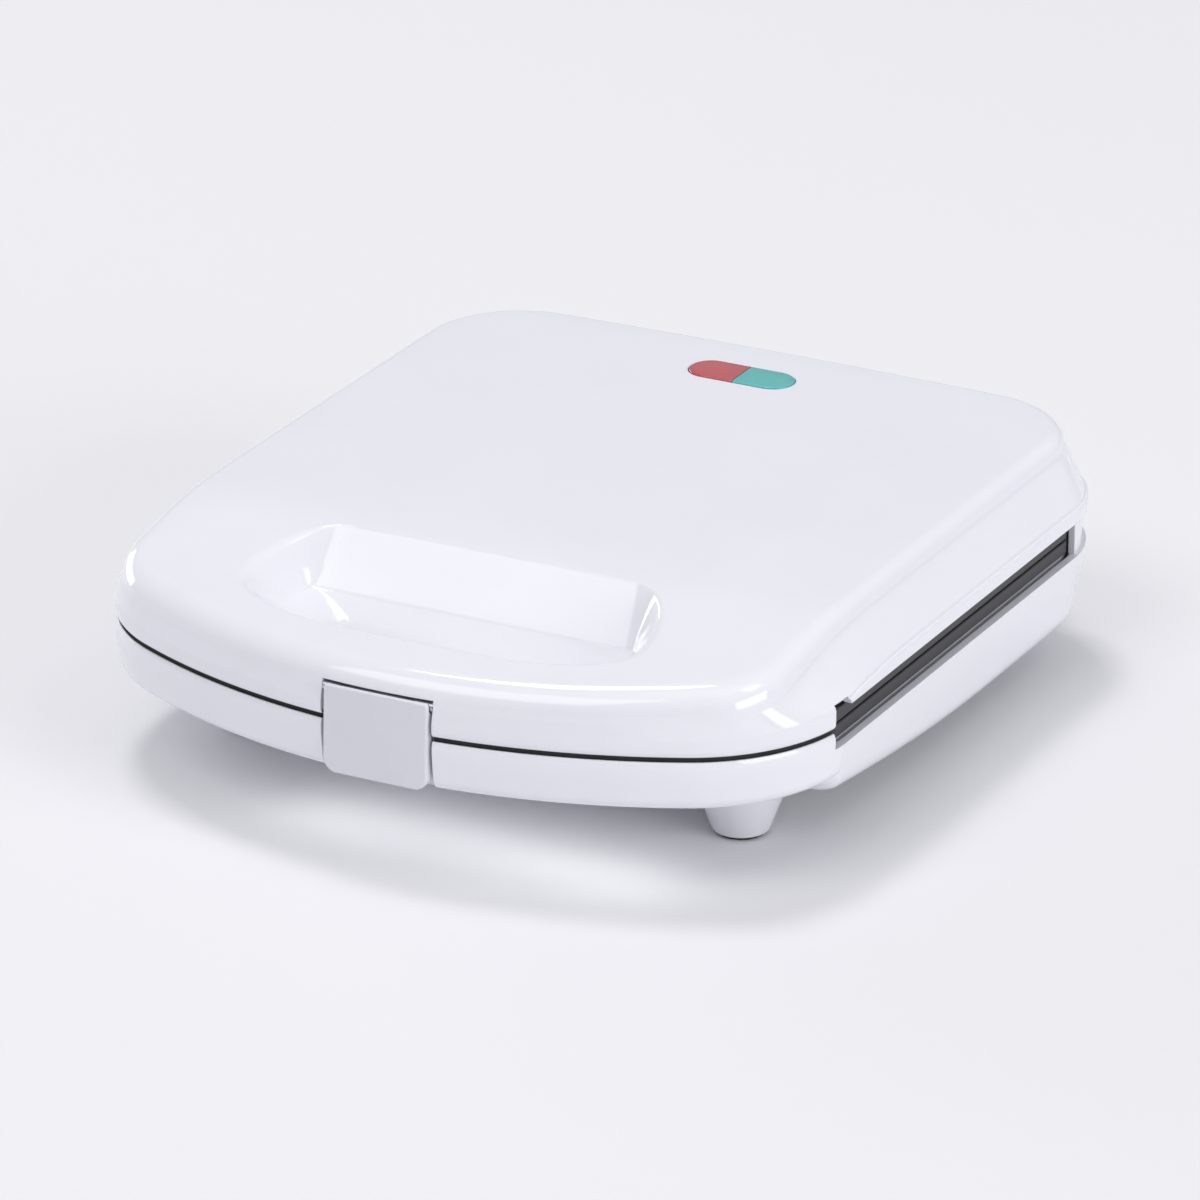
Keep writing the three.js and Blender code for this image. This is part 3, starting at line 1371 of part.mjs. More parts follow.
sides.forEach(([word, side]) => {
  const sleeve = makeSleeve(side);
  baseBody.add(named(`lower_element_sleeve_${word}`, turnedOver(sleeve), ceramic));
  lidBody.add(named(`upper_element_sleeve_${word}`, sleeve, ceramic));
  const [x0, x1] = [side * (hinge.lugX - pinInner), side * (hinge.lugX + pinOuter)].sort((a, b) => a - b);
  baseBody.add(named(`hinge_pin_${word}`, makePin(x0, x1, hinge.pinRadius, pinY, pinZ), steel));
  const grip = makeScrew(side * screw.frontX, screw.frontY, gripScrewHead + screw.headHeight,
    deckGripBottom + deck.thickness / 2 - fit);
  baseBody.add(named(`base_screw_front_${word}`, grip, steel));
  const rearSeat = rearScrewHead + screw.headHeight;
  const rear = makeScrew(side * screw.rearX, screw.rearY, rearSeat, flangeTop - fit);
  baseBody.add(named(`base_screw_rear_${word}`, rear, steel));
  const lidFrontEnd = upperFrontHead + screw.grip;
  const lidFront = makeScrew(side * screw.lidFrontX, screw.lidFrontY, upperFrontHead, lidFrontEnd);
  lidBody.add(named(`lid_screw_front_${word}`, lidFront, steel));
  const lidRearEnd = lidRearBoss + screw.grip - fit * 2;
  const lidRear = makeScrew(side * screw.rearX, screw.rearY, sideGap.half - fit, lidRearEnd);
  lidBody.add(named(`lid_screw_rear_${word}`, lidRear, steel));
  const thread = light.screwRadius;
  const small = { headRadius: thread * 2, headHeight: thread, shankRadius: thread };
  const carrierSeat = carrierTop - light.carrierThickness - fit;
  const lampScrew = makeScrew(side * light.postX, light.y, carrierSeat, carrierTop + light.screwGrip, small);
  lidBody.add(named(`lamp_screw_${word}`, lampScrew, steel));
});

const sandwichMaker = new THREE.Group();
sandwichMaker.add(baseBody, lidBody, latchBody);
sandwichMaker.position.set(0, -(latch.front + pinY + hinge.radius) / 2, seamHeight);
sandwichMaker.updateMatrixWorld(true);

export default sandwichMaker;
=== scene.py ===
"""Sandwich maker: gloss white housings, a sculpted lid and dark cooking plates, in a pale studio."""
import math

import bmesh
import bpy
import numpy as np
from mathutils import Matrix, Vector
from mathutils.geometry import delaunay_2d_cdt


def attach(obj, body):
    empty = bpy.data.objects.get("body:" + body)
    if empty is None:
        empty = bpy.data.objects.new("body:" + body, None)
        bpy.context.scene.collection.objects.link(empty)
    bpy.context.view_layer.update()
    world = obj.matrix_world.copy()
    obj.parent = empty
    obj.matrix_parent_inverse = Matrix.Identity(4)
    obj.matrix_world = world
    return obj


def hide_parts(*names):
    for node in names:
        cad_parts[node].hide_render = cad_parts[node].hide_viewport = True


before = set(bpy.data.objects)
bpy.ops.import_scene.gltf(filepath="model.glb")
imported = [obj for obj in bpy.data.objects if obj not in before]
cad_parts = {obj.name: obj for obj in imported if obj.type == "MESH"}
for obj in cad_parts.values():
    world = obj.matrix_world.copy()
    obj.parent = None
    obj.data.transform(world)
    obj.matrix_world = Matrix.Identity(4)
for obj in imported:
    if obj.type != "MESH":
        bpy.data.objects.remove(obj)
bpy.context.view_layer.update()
scene = bpy.context.scene

# Camera: a long lens, fitted to the photograph in the seam frame
MM = 0.001
SHIFT = Vector((0, -0.13135, 0.042))
BACK = Vector((0.42925, -0.81690, 0.38526))
RIGHT = Vector((0.88523, 0.46515, 0.0))
UP = Vector((-0.17920, 0.34104, 0.92281))
CAMERA_AT = Vector((1002.9, -1773.9, 888.8))
CAMERA_RISE = 0.38
camera_data = bpy.data.cameras.new("camera")
camera_data.sensor_width = 36
camera_data.lens = 240
camera_data.clip_end = 20
camera = bpy.data.objects.new("camera", camera_data)
scene.collection.objects.link(camera)
turn = Matrix((RIGHT, UP, BACK)).transposed().to_4x4()
camera.matrix_world = Matrix.Translation((CAMERA_AT + UP * CAMERA_RISE) * MM + SHIFT) @ turn
scene.camera = camera

# Sizes in millimetres, as in the CAD, from the front of the seam
WIDTH, DEPTH = 230.0, 255.0
HALF = WIDTH / 2
WALL = 2.5
PAST = 20  # how far a cutter runs on beyond what it cuts
SINK = WALL / 2  # of a boss or foot, into the wall that it joins
LID_EDGE = 0.8
LID_FRONT_TOP, LID_TOP, LID_CROWN = 18.3, 28.4, 1.6
LATCH_HALF, LATCH_TOP, LATCH_BOTTOM = 16.6, 10.4, -15.8
LATCH_FRONT, LATCH_LEAN = -0.6, 0.04
LATCH_PIN_Y, LATCH_PIN_Z = 3.2, 8.8
LATCH_ROOM = LATCH_HALF + 1
LATCH_NOTCH_TOP, LATCH_NOTCH_DEPTH = LATCH_TOP + 0.8, 8.4
BLOCK_HALF = LATCH_ROOM + 3.4
GAP_FRONT, GAP_HALF = 58.0, 5.5
# Insets between which the seam's slot and the strip in it run; the strip is painted dark, as painted shade in the
# seam's gap
SEAM_SLOT, SEAM_SHADE_STRIP = (1.1, 2.7), (1.5, 2.5)
SLOT_DEPTH = 2.8
# The walls draw in by SEAM_EASE at the seam, on the lid over EASE_RISE; the lid's side step is LEDGE_RISE high
SEAM_EASE, EASE_RISE, LEDGE_RISE = 0.6, 1.4, 0.8
BELLY_FRONT, BELLY_START, BELLY_DROP, BELLY_RUN = 57.0, 21.5, 9.5, 112.2
BELLY_ROUND = 8
GRIP_FLOOR, GRIP_ROUND = -16.0, 4
PIN_Y, PIN_Z = 259.7, -4.0
PIN_HOLE = 1.8
BOSS = 4.2
HINGE_X, HINGE_HALF = 68, 9
# The base's ears stand in pairs, each from one distance across to another
EARS = (53.7, 58.7), (77.3, 82.3)
FLOOR_Z = -42.0
SCREW_HOLE, HEAD_HOLE, HEAD_SEAT = 1.8, 3.3, 3.5
STEM_HOLE, STEM_RISE = 2.3, 5.3
INLET_X, INLET_Z, INLET_HOLE, INLET_PAD = 38, -15.2, 4.4, 7.4
# Screws by place: half the distance across, and the way back from the seam's front
LID_SCREWS = (84, 44), (64, 233)
BASE_SCREWS = (62, 34), (64, 233)


def ramp(a, b, v):
    t = np.clip((v - a) / (b - a), 0, 1)
    return t * t * (3 - 2 * t)


def mix(a, b, t):
    return a + (b - a) * t


def plan(half, front, rear, bow, front_corner, rear_corner):
    """Outline with a bowed front, counterclockwise from the middle of the front."""
    # Points on half the bow, each corner, each side and half the rear
    bow_n, corner_n, side_n, rear_n = 70, 48, 60, 24
    corner_x = half - front_corner
    bow_y = front + bow
    corner_y = bow_y - math.sqrt((bow - front_corner) ** 2 - corner_x**2)
    end = math.atan2(corner_x, bow_y - corner_y)
    a = np.linspace(0, end, bow_n, endpoint=False)
    parts = [np.c_[bow * np.sin(a), bow_y - bow * np.cos(a)]]
    a = np.linspace(end, math.pi / 2, corner_n, endpoint=False)
    parts.append(np.c_[corner_x + front_corner * np.sin(a), corner_y - front_corner * np.cos(a)])
    y = np.linspace(corner_y, rear - rear_corner, side_n, endpoint=False)
    parts.append(np.c_[np.full(side_n, half), y])
    a = np.linspace(0, math.pi / 2, corner_n, endpoint=False)
    parts.append(np.c_[half - rear_corner + rear_corner * np.cos(a), rear - rear_corner + rear_corner * np.sin(a)])
    x = np.linspace(half - rear_corner, 0, rear_n, endpoint=False)
    parts.append(np.c_[x, np.full(rear_n, rear)])
    right = np.vstack(parts)
    left = right[1:][::-1] * [-1, 1]
    return np.vstack([right, [[0, rear]], left])


# Radii of the front bow, the front corners and the rear corners
REAR_CORNER = 39
SEAM_RADII, SHOULDER_RADII = (194, 51, REAR_CORNER), (193, 26, 31)
BELLY_BOW, BELLY_CORNER = 50000, 5
SHOULDER_LEAN = 9.5


def seam_plan(inset):
    return plan(HALF - inset, inset, DEPTH - inset, *(radius - inset for radius in SEAM_RADII))


def shoulder_plan(inset):
    radii = (radius - inset for radius in SHOULDER_RADII)
    return plan(HALF - SHOULDER_LEAN - inset, 1 + inset, DEPTH - 2.5 - inset, *radii)


def belly_plan(inset):
    return plan(HALF - inset, BELLY_FRONT + inset, DEPTH - inset, BELLY_BOW, BELLY_CORNER, REAR_CORNER - inset)


def top_height(x, y):
    slope_start, slope_run, blend = 12, 61, 2
    slope = (LID_TOP - LID_FRONT_TOP) / slope_run
    line = LID_FRONT_TOP + (y - slope_start) * slope
    smooth = (line + LID_TOP - np.hypot(line - LID_TOP, blend)) / 2
    return smooth - LID_CROWN * (x / HALF) ** 2


def fillet_at(y):
    """The lid's upper rounding: wide at the front, narrower along the sides and rear."""
    return mix(9, 5, ramp(25, 110, y))


# Mesh helpers
def add_object(name, verts, faces):
    mesh = bpy.data.meshes.new(name)
    mesh.from_pydata([tuple(v) for v in verts], [], faces)
    mesh.validate()
    mesh.update()
    obj = bpy.data.objects.new(name, mesh)
    scene.collection.objects.link(obj)
    return obj


def strip_faces(rows, n):
    """Quads between rows of n points that close on themselves."""
    faces = []
    for r in range(rows - 1):
        a = r * n
        for i in range(n):
            j = (i + 1) % n
            faces.append((a + i, a + j, a + n + j, a + n + i))
    return faces


def level(outline, z):
    """An outline as a ring at one height."""
    return np.c_[outline, np.full(len(outline), z)]


def loft(name, rings):
    rings = [np.asarray(r, float) for r in rings]
    n = len(rings[0])
    verts = np.vstack(rings)
    faces = strip_faces(len(rings), n)
    faces.append(tuple(range(n - 1, -1, -1)))
    last = (len(rings) - 1) * n
    faces.append(tuple(last + i for i in range(n)))
    return add_object(name, verts, faces)


def prism(name, outline, z0, z1):
    outline = np.asarray(outline, float)
    return loft(name, [level(outline, z) for z in (z0, z1)])


def box(name, x0, x1, y0, y1, z0, z1):
    return prism(name, [(x0, y0), (x1, y0), (x1, y1), (x0, y1)], z0, z1)


def rounded_rect(x0, x1, y0, y1, r, n):
    points = []
    for cx, cy, start in ((x1 - r, y0 + r, -90), (x1 - r, y1 - r, 0), (x0 + r, y1 - r, 90), (x0 + r, y0 + r, 180)):
        for i in range(n + 1):
            a = math.radians(start + 90 * i / n)
            points.append((cx + r * math.cos(a), cy + r * math.sin(a)))
    return points


def drum(name, radius, z0, z1, x, y, top=None, n=64):
    a = np.linspace(0, 2 * math.pi, n, endpoint=False)
    ring = np.c_[np.cos(a), np.sin(a)]
    top = radius if top is None else top
    return loft(name, [level(ring * r + [x, y], z) for r, z in ((radius, z0), (top, z1))])


def drum_x(name, radius, x0, x1, y, z, n=48):
    a = np.linspace(0, 2 * math.pi, n, endpoint=False)
    return loft(name, [np.c_[np.full(n, x), y + radius * np.cos(a), z + radius * np.sin(a)] for x in (x0, x1)])


def drum_y(name, radius, y0, y1, x, z):
    n = 64
    a = np.linspace(0, 2 * math.pi, n, endpoint=False)
    return loft(name, [np.c_[x + radius * np.cos(a), np.full(n, y), z + radius * np.sin(a)] for y in (y1, y0)])


def prism_x(name, points, x0, x1):
    points = np.asarray(points, float)
    return loft(name, [np.c_[np.full(len(points), x), points] for x in (x0, x1)])


def combine(target, cutter, operation):
    before = len(target.data.polygons)
    modifier = target.modifiers.new("boolean", "BOOLEAN")
    modifier.operation = operation
    modifier.solver = "MANIFOLD"
    modifier.object = cutter
    evaluated = target.evaluated_get(bpy.context.evaluated_depsgraph_get())
    mesh = bpy.data.meshes.new_from_object(evaluated)
    target.modifiers.clear()
    old = target.data
    target.data = mesh
    bpy.data.meshes.remove(old)
    bpy.data.objects.remove(cutter)
    if len(target.data.polygons) in (0, before):
        raise RuntimeError(f"{operation} had no effect on {target.name}")
    return target


def join(target, *others):
    for other in others:
        combine(target, other, "UNION")
    return target


def cut(target, *others):
    for other in others:
        combine(target, other, "DIFFERENCE")
    return target


def keep(target, other):
    return combine(target, other, "INTERSECT")


def smooth_line(points, per_segment):
    """Catmull-Rom curve through rows of numbers, ends included."""
    p = np.asarray(points, float)
    p = np.vstack([2 * p[0] - p[1], p, 2 * p[-1] - p[-2]])
    out = []
    for i in range(1, len(p) - 2):
        t = np.linspace(0, 1, per_segment, endpoint=False)[:, None]
        a, b, c, d = p[i - 1], p[i], p[i + 1], p[i + 2]
        out.append(0.5 * (2 * b + (c - a) * t + (2 * a - 5 * b + 4 * c - d) * t**2 + (3 * b - a - 3 * c + d) * t**3))
    return np.vstack(out + [p[-2][None, :]])


def inside(points, outline):
    """Which points lie inside a closed outline."""
    x, y = points[:, 0], points[:, 1]
    hit = np.zeros(len(points), bool)
    x0, y0 = outline[-1]
    for x1, y1 in outline:
        crosses = (y1 > y) != (y0 > y)
        with np.errstate(divide="ignore", invalid="ignore"):
            at = (x0 - x1) * (y - y1) / (y0 - y1) + x1
        hit ^= crosses & (x < at)
        x0, y0 = x1, y1
    return hit


# Lid: walls, fillet, top and finger recess as one closed skin
SEAM, SHOULDER = seam_plan(0), shoulder_plan(0)
SEAM_IN, SHOULDER_IN = seam_plan(1) - SEAM, shoulder_plan(1) - SHOULDER

# Recess outline at the top surface and at the floor, right half from the front
RECESS_TOP = [(0, 19.6), (28.7, 20.6), (44, 23.3), (53.5, 27.2), (60, 32), (63, 38), (63, 45), (61.2, 53), (58, 60.5),
              (54.6, 65.8), (51, 69), (47, 70.5)]
RECESS_FLOOR = [(0, 25), (26, 26), (39.5, 29.2), (47, 33), (51.5, 37.5), (53.6, 42), (53.9, 46), (53.6, 49.5),
                (53.1, 52.2), (52.5, 54.3), (51.9, 55.6), (51.2, 56.3)]
RECESS_Z = 12.2
# Rounding at the top and at the floor, point by point along the same outline
RECESS_SOFT = [(0.9, 3), (0.9, 3), (1.1, 3), (1.6, 3), (2.2, 3), (2.6, 3), (2.6, 2.8), (2.4, 2.4), (2, 2), (1.4, 1.6),
               (0.8, 1.2), (0.5, 0.9)]


def recess_outlines():
    rows = np.hstack([RECESS_TOP, RECESS_FLOOR, RECESS_SOFT])
    right = smooth_line(rows, 9)
    left = right[1:][::-1] * [-1, 1, -1, 1, 1, 1]
    t = np.linspace(0, 1, 40)[1:-1, None]
    rear = mix(right[-1], left[0], t)
    rows = np.vstack([right, rear, left])
    return rows[:, :2], rows[:, 2:4], rows[:, 4:5], rows[:, 5:6]


def recess_rings():
    """Rings from the lid's top over the recess's lip, down its wall and onto its floor."""
    upper, lower, soft_top, soft_floor = recess_outlines()
    u = np.c_[upper, top_height(upper[:, 0], upper[:, 1])]
    low = level(lower, RECESS_Z)
    down = low - u
    length = np.linalg.norm(down, axis=1, keepdims=True)
    down /= length
    out = -down[:, :2] / np.linalg.norm(down[:, :2], axis=1, keepdims=True)
    a = upper + out * soft_top
    a = np.c_[a, top_height(a[:, 0], a[:, 1])]
    b = u + down * soft_top
    c = low - down * soft_floor
    d = level(lower - out * soft_floor, RECESS_Z)
    steps = 6
    rings = []
    for start, middle, end in ((a, u, b), (c, low, d)):
        for t in np.linspace(0, 1, steps + 1):
            rings.append(start * (1 - t) ** 2 + 2 * middle * t * (1 - t) + end * t**2)
    upper_bend, lower_bend = rings[:steps + 1], rings[steps + 1:]
    wall = [mix(upper_bend[-1], lower_bend[0], t) for t in (0.25, 0.5, 0.75)]
    return upper_bend + wall + lower_bend


def lid_wall(inset, bottom, steps):
    """Rings from the lid's lower edge up to the end of its top fillet."""
    fillet = fillet_at(SEAM[:, 1])[:, None]
    rim = SHOULDER + SHOULDER_IN * fillet
    steep = top_height(rim[:, 0], rim[:, 1])[:, None] - inset - fillet
    lip = mix(LID_EDGE, steep, 0.4)
    share = ramp(52, 74, SEAM[:, 1])[:, None]
    full = SEAM + SEAM_IN * inset
    rings = [level(SEAM + SEAM_IN * (inset + SEAM_EASE), bottom)]
    if inset == 0:
        for t in (0.15, 0.35, 0.6):
            edge = SEAM_EASE * (1 - t) ** 2
            rings.append(level(SEAM + SEAM_IN * edge, bottom + EASE_RISE * t))
    for t in (0.25, 0.7, 0.95, 1.0):
        rings.append(np.c_[full, mix(bottom + EASE_RISE if inset == 0 else LID_EDGE, lip, t)])
    # The step under the lid's leaning wall, from where the side gap starts
    ledge = full + SEAM_IN * share
    for t, rise in ((0.25, 0.12), (0.9, 0.3)):
        rings.append(np.c_[mix(full, ledge, t), lip + rise])
    rings.append(np.c_[ledge, lip + LEDGE_RISE])
    start = SHOULDER + SHOULDER_IN * inset
    for t in (0.05, 0.2, 0.4, 0.6, 0.8, 0.93):
        rings.append(np.c_[mix(ledge, start, t), mix(lip + LEDGE_RISE, steep, t)])
    for t in np.linspace(0, 1, steps):
        a = t * math.pi / 2
        flat = start + SHOULDER_IN * fillet * (1 - math.cos(a))
        rings.append(np.c_[flat, steep + fillet * math.sin(a)])
    return rings


def lid_skin():
    """The lid's outside: rings up the wall, a meshed top and rings down into the recess."""
    rings = lid_wall(0, LID_EDGE, 12)
    n = len(rings[0])
    rim = rings[-1]
    hole_rings = recess_rings()
    m = len(hole_rings[0])
    hole = hole_rings[0][:, :2]
    half, front, rear, pitch = 108, 6, 252, 4
    xs, ys = np.meshgrid(np.arange(-half, half + 0.1, pitch), np.arange(front, rear, pitch))
    grid = np.c_[xs.ravel(), ys.ravel()]
    inner_rim = rim[:, :2] + SHOULDER_IN * 2.5
    hole_centre = hole.mean(axis=0)
    outer_hole = hole_centre + (hole - hole_centre) * 1.05
    grid = grid[inside(grid, inner_rim) & ~inside(grid, outer_hole)]
    flat = np.vstack([rim[:, :2], hole, grid])
    edges = [(i, (i + 1) % n) for i in range(n)] + [(n + i, n + (i + 1) % m) for i in range(m)]
    out = delaunay_2d_cdt([Vector(p) for p in flat], edges, [], 0, 1e-6)
    points = np.array([tuple(v) for v in out[0]])
    if len(points) != len(flat):
        raise RuntimeError("the lid's top didn't keep its points")
    triangles = np.array([f for f in out[2] if len(f) == 3])
    centres = points[triangles].mean(axis=1)
    good = inside(centres, rim[:, :2]) & ~inside(centres, hole)
    triangles = triangles[good]
    a, b, c = (points[triangles[:, i]] for i in range(3))
    wrong = np.cross(b - a, c - a) < 0
    triangles[wrong] = triangles[wrong][:, ::-1]
    verts = np.vstack(rings + hole_rings[1:] + [np.c_[grid, top_height(grid[:, 0], grid[:, 1])]])
    base = (len(rings) - 1) * n
    hole_start = len(rings) * n
    grid_start = hole_start + (len(hole_rings) - 1) * m
    faces = strip_faces(len(rings), n)
    faces.append(tuple(range(n - 1, -1, -1)))
    # The recess's first ring belongs to the flat part's hole and gets its own points at the end
    first = len(verts)
    verts = np.vstack([verts, hole_rings[0]])

    def place(i):
        if i < n:
            return base + i
        if i < n + m:
            return first + i - n
        return grid_start + i - n - m

    faces += [tuple(place(i) for i in t) for t in triangles.tolist()]
    rows = [first] + [hole_start + k * m for k in range(len(hole_rings) - 1)]
    for r in range(len(rows) - 1):
        for i in range(m):
            j = (i + 1) % m
            faces.append((rows[r] + i, rows[r] + j, rows[r + 1] + j, rows[r + 1] + i))
    faces.append(tuple(rows[-1] + i for i in range(m)))
    return add_object("lid", verts, faces)


def lid_inside(inset):
    rings = lid_wall(inset, -PAST, 5)
    rim = rings[-1]
    middle = np.clip(rim[:, 0], -35, 35) * 0.5
    for share in (0.7, 0.4):
        x = mix(middle, rim[:, 0], share)
        y = mix(DEPTH / 2, rim[:, 1], share)
        rings.append(np.c_[x, y, top_height(x, y) - inset])
    return loft("inside", rings)


def lid_hollow():
    """The lid's hollow, less a shell round the recess."""
    hollow = lid_inside(WALL)
    upper, lower, _, _ = recess_outlines()
    out = (upper - lower) / np.linalg.norm(upper - lower, axis=1, keepdims=True)
    low = level(lower + out * WALL, RECESS_Z - WALL)
    wide = upper + out * WALL * 1.3
    middle = np.c_[wide, top_height(wide[:, 0], wide[:, 1])]
    above_top = 34.0
    high = level(wide, above_top)
    cut(hollow, loft("recess_shell", [low[::2], middle[::2], high[::2]]))
    return hollow


def boss(x, y, z0, z1):
    return drum("boss", BOSS, z0, z1, x, y)


def front_ring(outer, inner, z0, z1):
    """A strip that follows the seam round the front, between two insets."""
    ring = cut(prism("ring", SEAM + SEAM_IN * outer, z0, z1), prism("core", SEAM + SEAM_IN * inner, -PAST, PAST))
    return keep(ring, box("front", -WIDTH, WIDTH, -PAST, GAP_FRONT, -PAST, PAST))


def make_lid():
    lid = cut(lid_skin(), lid_hollow())
    block = box("block", -BLOCK_HALF, BLOCK_HALF, 0, LATCH_NOTCH_DEPTH + WALL, LID_EDGE + 0.2, LATCH_NOTCH_TOP + WALL)
    join(lid, keep(block, lid_inside(WALL / 2)))
    (front_x, front_y), (rear_x, rear_y) = LID_SCREWS
    front_top = top_height(front_x, front_y) - 1.2
    # An arm comes down behind the wall from the lid's rear, to a lug round the pin
    face, back, inner, arm_top = DEPTH + 0.5, PIN_Y + BOSS, DEPTH - WALL, 16
    arm_profile = [(face, PIN_Z), (back, PIN_Z), (back, GAP_HALF), (DEPTH - 1.3, arm_top), (inner, arm_top),
                   (inner, GAP_HALF), (face, GAP_HALF)]
    for side in (-1, 1):
        join(lid, boss(side * front_x, front_y, 6.3, front_top))
        join(lid, boss(side * rear_x, rear_y, 8.1, 26))
        x0, x1 = side * HINGE_X - HINGE_HALF, side * HINGE_X + HINGE_HALF
        arm = prism_x("arm", arm_profile, x0, x1)
        join(lid, join(arm, drum_x("lug", BOSS, x0, x1, PIN_Y, PIN_Z)))
    gap = box("gap", -WIDTH, WIDTH, GAP_FRONT, DEPTH + 0.2, -PAST, GAP_HALF)
    cut(lid, front_ring(*SEAM_SLOT, 0, SLOT_DEPTH), gap)
    # The side gap's front end rises into the lid beside the plates
    notch_start, notch_top = GAP_FRONT, 7.7
    notch_profile = [(notch_start, -PAST), (65, -PAST), (66.5, GAP_HALF), (65.5, notch_top), (notch_start, notch_top)]
    for side in (-1, 1):
        cut(lid, prism_x("notch", notch_profile, *sorted((side * (HALF - 3.5), side * (HALF + PAST)))))
    notch = rounded_rect(-LATCH_ROOM, LATCH_ROOM, -PAST, LATCH_NOTCH_DEPTH, 0.01, 1)
    cut(lid, prism("latch_notch", notch, -PAST, LATCH_NOTCH_TOP))
    cut(lid, prism("lens_hole", pill(LENS_CLEARANCE), PAST, 2 * PAST))
    for side in (-1, 1):
        x = side * HINGE_X
        cut(lid, drum_x("pin_hole", PIN_HOLE, x - 18, x + 18, PIN_Y, PIN_Z))
    return lid


# Base: grip at the front, belly behind it, feet, shroud and hinge ears
def belly_depth(y):
    return -(BELLY_START + BELLY_DROP * np.sin(math.pi / 2 * np.clip((y - BELLY_FRONT) / BELLY_RUN, 0, 1)))


def grip_form(inset):
    """The front housing below the seam: a rounded floor, and a wall that leans out to the seam's ease."""
    floor = GRIP_FLOOR + inset
    lean, ease_start = 0.9, -3
    rows = []
    for t in np.linspace(1, 0, 9):
        a = t * math.pi / 2
        rows.append((lean + inset + GRIP_ROUND * (1 - math.cos(a)), floor + GRIP_ROUND * (1 - math.sin(a))))
    for t in (0.35, 0.7, 1.0):
        rows.append((inset + lean * (1 - t) ** 1.5, mix(floor + GRIP_ROUND, ease_start, t)))
    for t in (0.4, 0.75, 1.0):
        rows.append((inset + SEAM_EASE * t * t, mix(ease_start, PAST if inset else -LID_EDGE, t)))
    return loft("grip", [level(SEAM + SEAM_IN * more, z) for more, z in rows])


BELLY = belly_plan(0)
BELLY_IN = belly_plan(1) - BELLY


def belly_form(inset):
    """The housing below the side gap: a floor that deepens to the rear, and a drafted wall."""
    y = BELLY[:, 1]
    rim_inset, draft = 0.3, 0.16
    lean = rim_inset + np.maximum(0, -(belly_depth(y) + BELLY_ROUND) - GAP_HALF) * draft
    rings = []
    for t in np.linspace(1, 0, 10):
        a = t * math.pi / 2
        flat = BELLY + BELLY_IN * (lean + inset + BELLY_ROUND * (1 - math.cos(a)))[:, None]
        rings.append(np.c_[flat, belly_depth(flat[:, 1]) + inset + BELLY_ROUND * (1 - math.sin(a))])
    floor = rings[0]
    middle = (BELLY_FRONT + DEPTH) / 2
    inner = []
    for share in (0.2, 0.4, 0.6, 0.78, 0.92):
        py = mix(middle, floor[:, 1], share)
        inner.append(np.c_[floor[:, 0] * share, py, belly_depth(py) + inset])
    rim = BELLY + BELLY_IN * (inset + rim_inset)
    top = [level(rim, -GAP_HALF)]
    if inset:
        top.append(level(rim, PAST))
    return loft("belly", inner + rings + top)


FRONT_FEET = [(-79.2, 69.6), (79.2, 69.6)]
FEET = FRONT_FEET + [(-80.0, 220.0), (80.0, 220.0)]
FOOT_TIP = FLOOR_Z + 1
FOOT_RADIUS, FOOT_TAPER = 8.3, 0.37


def foot_radius(z):
    return FOOT_RADIUS + (z - FOOT_TIP) * FOOT_TAPER


def foot(x, y):
    top = GRIP_FLOOR + SINK if (x, y) in FRONT_FEET else float(belly_depth(y)) + SINK
    n = 72
    a = np.linspace(0, 2 * math.pi, n, endpoint=False)
    ring = np.c_[np.cos(a), np.sin(a)]
    rows = [(foot_radius(FOOT_TIP + rise) - inset, FOOT_TIP + rise)
            for inset, rise in ((0.8, 0), (0.4, 0.1), (0.1, 0.4), (0, 0.8))]
    rows.append((foot_radius(top), top))
    return loft("foot", [level(ring * r + [x, y], z) for r, z in rows])


def foot_core(x, y):
    start = FOOT_TIP + 8
    return drum("core", foot_radius(start) - WALL, start, GRIP_FLOOR, x, y, foot_radius(GRIP_FLOOR) - WALL)


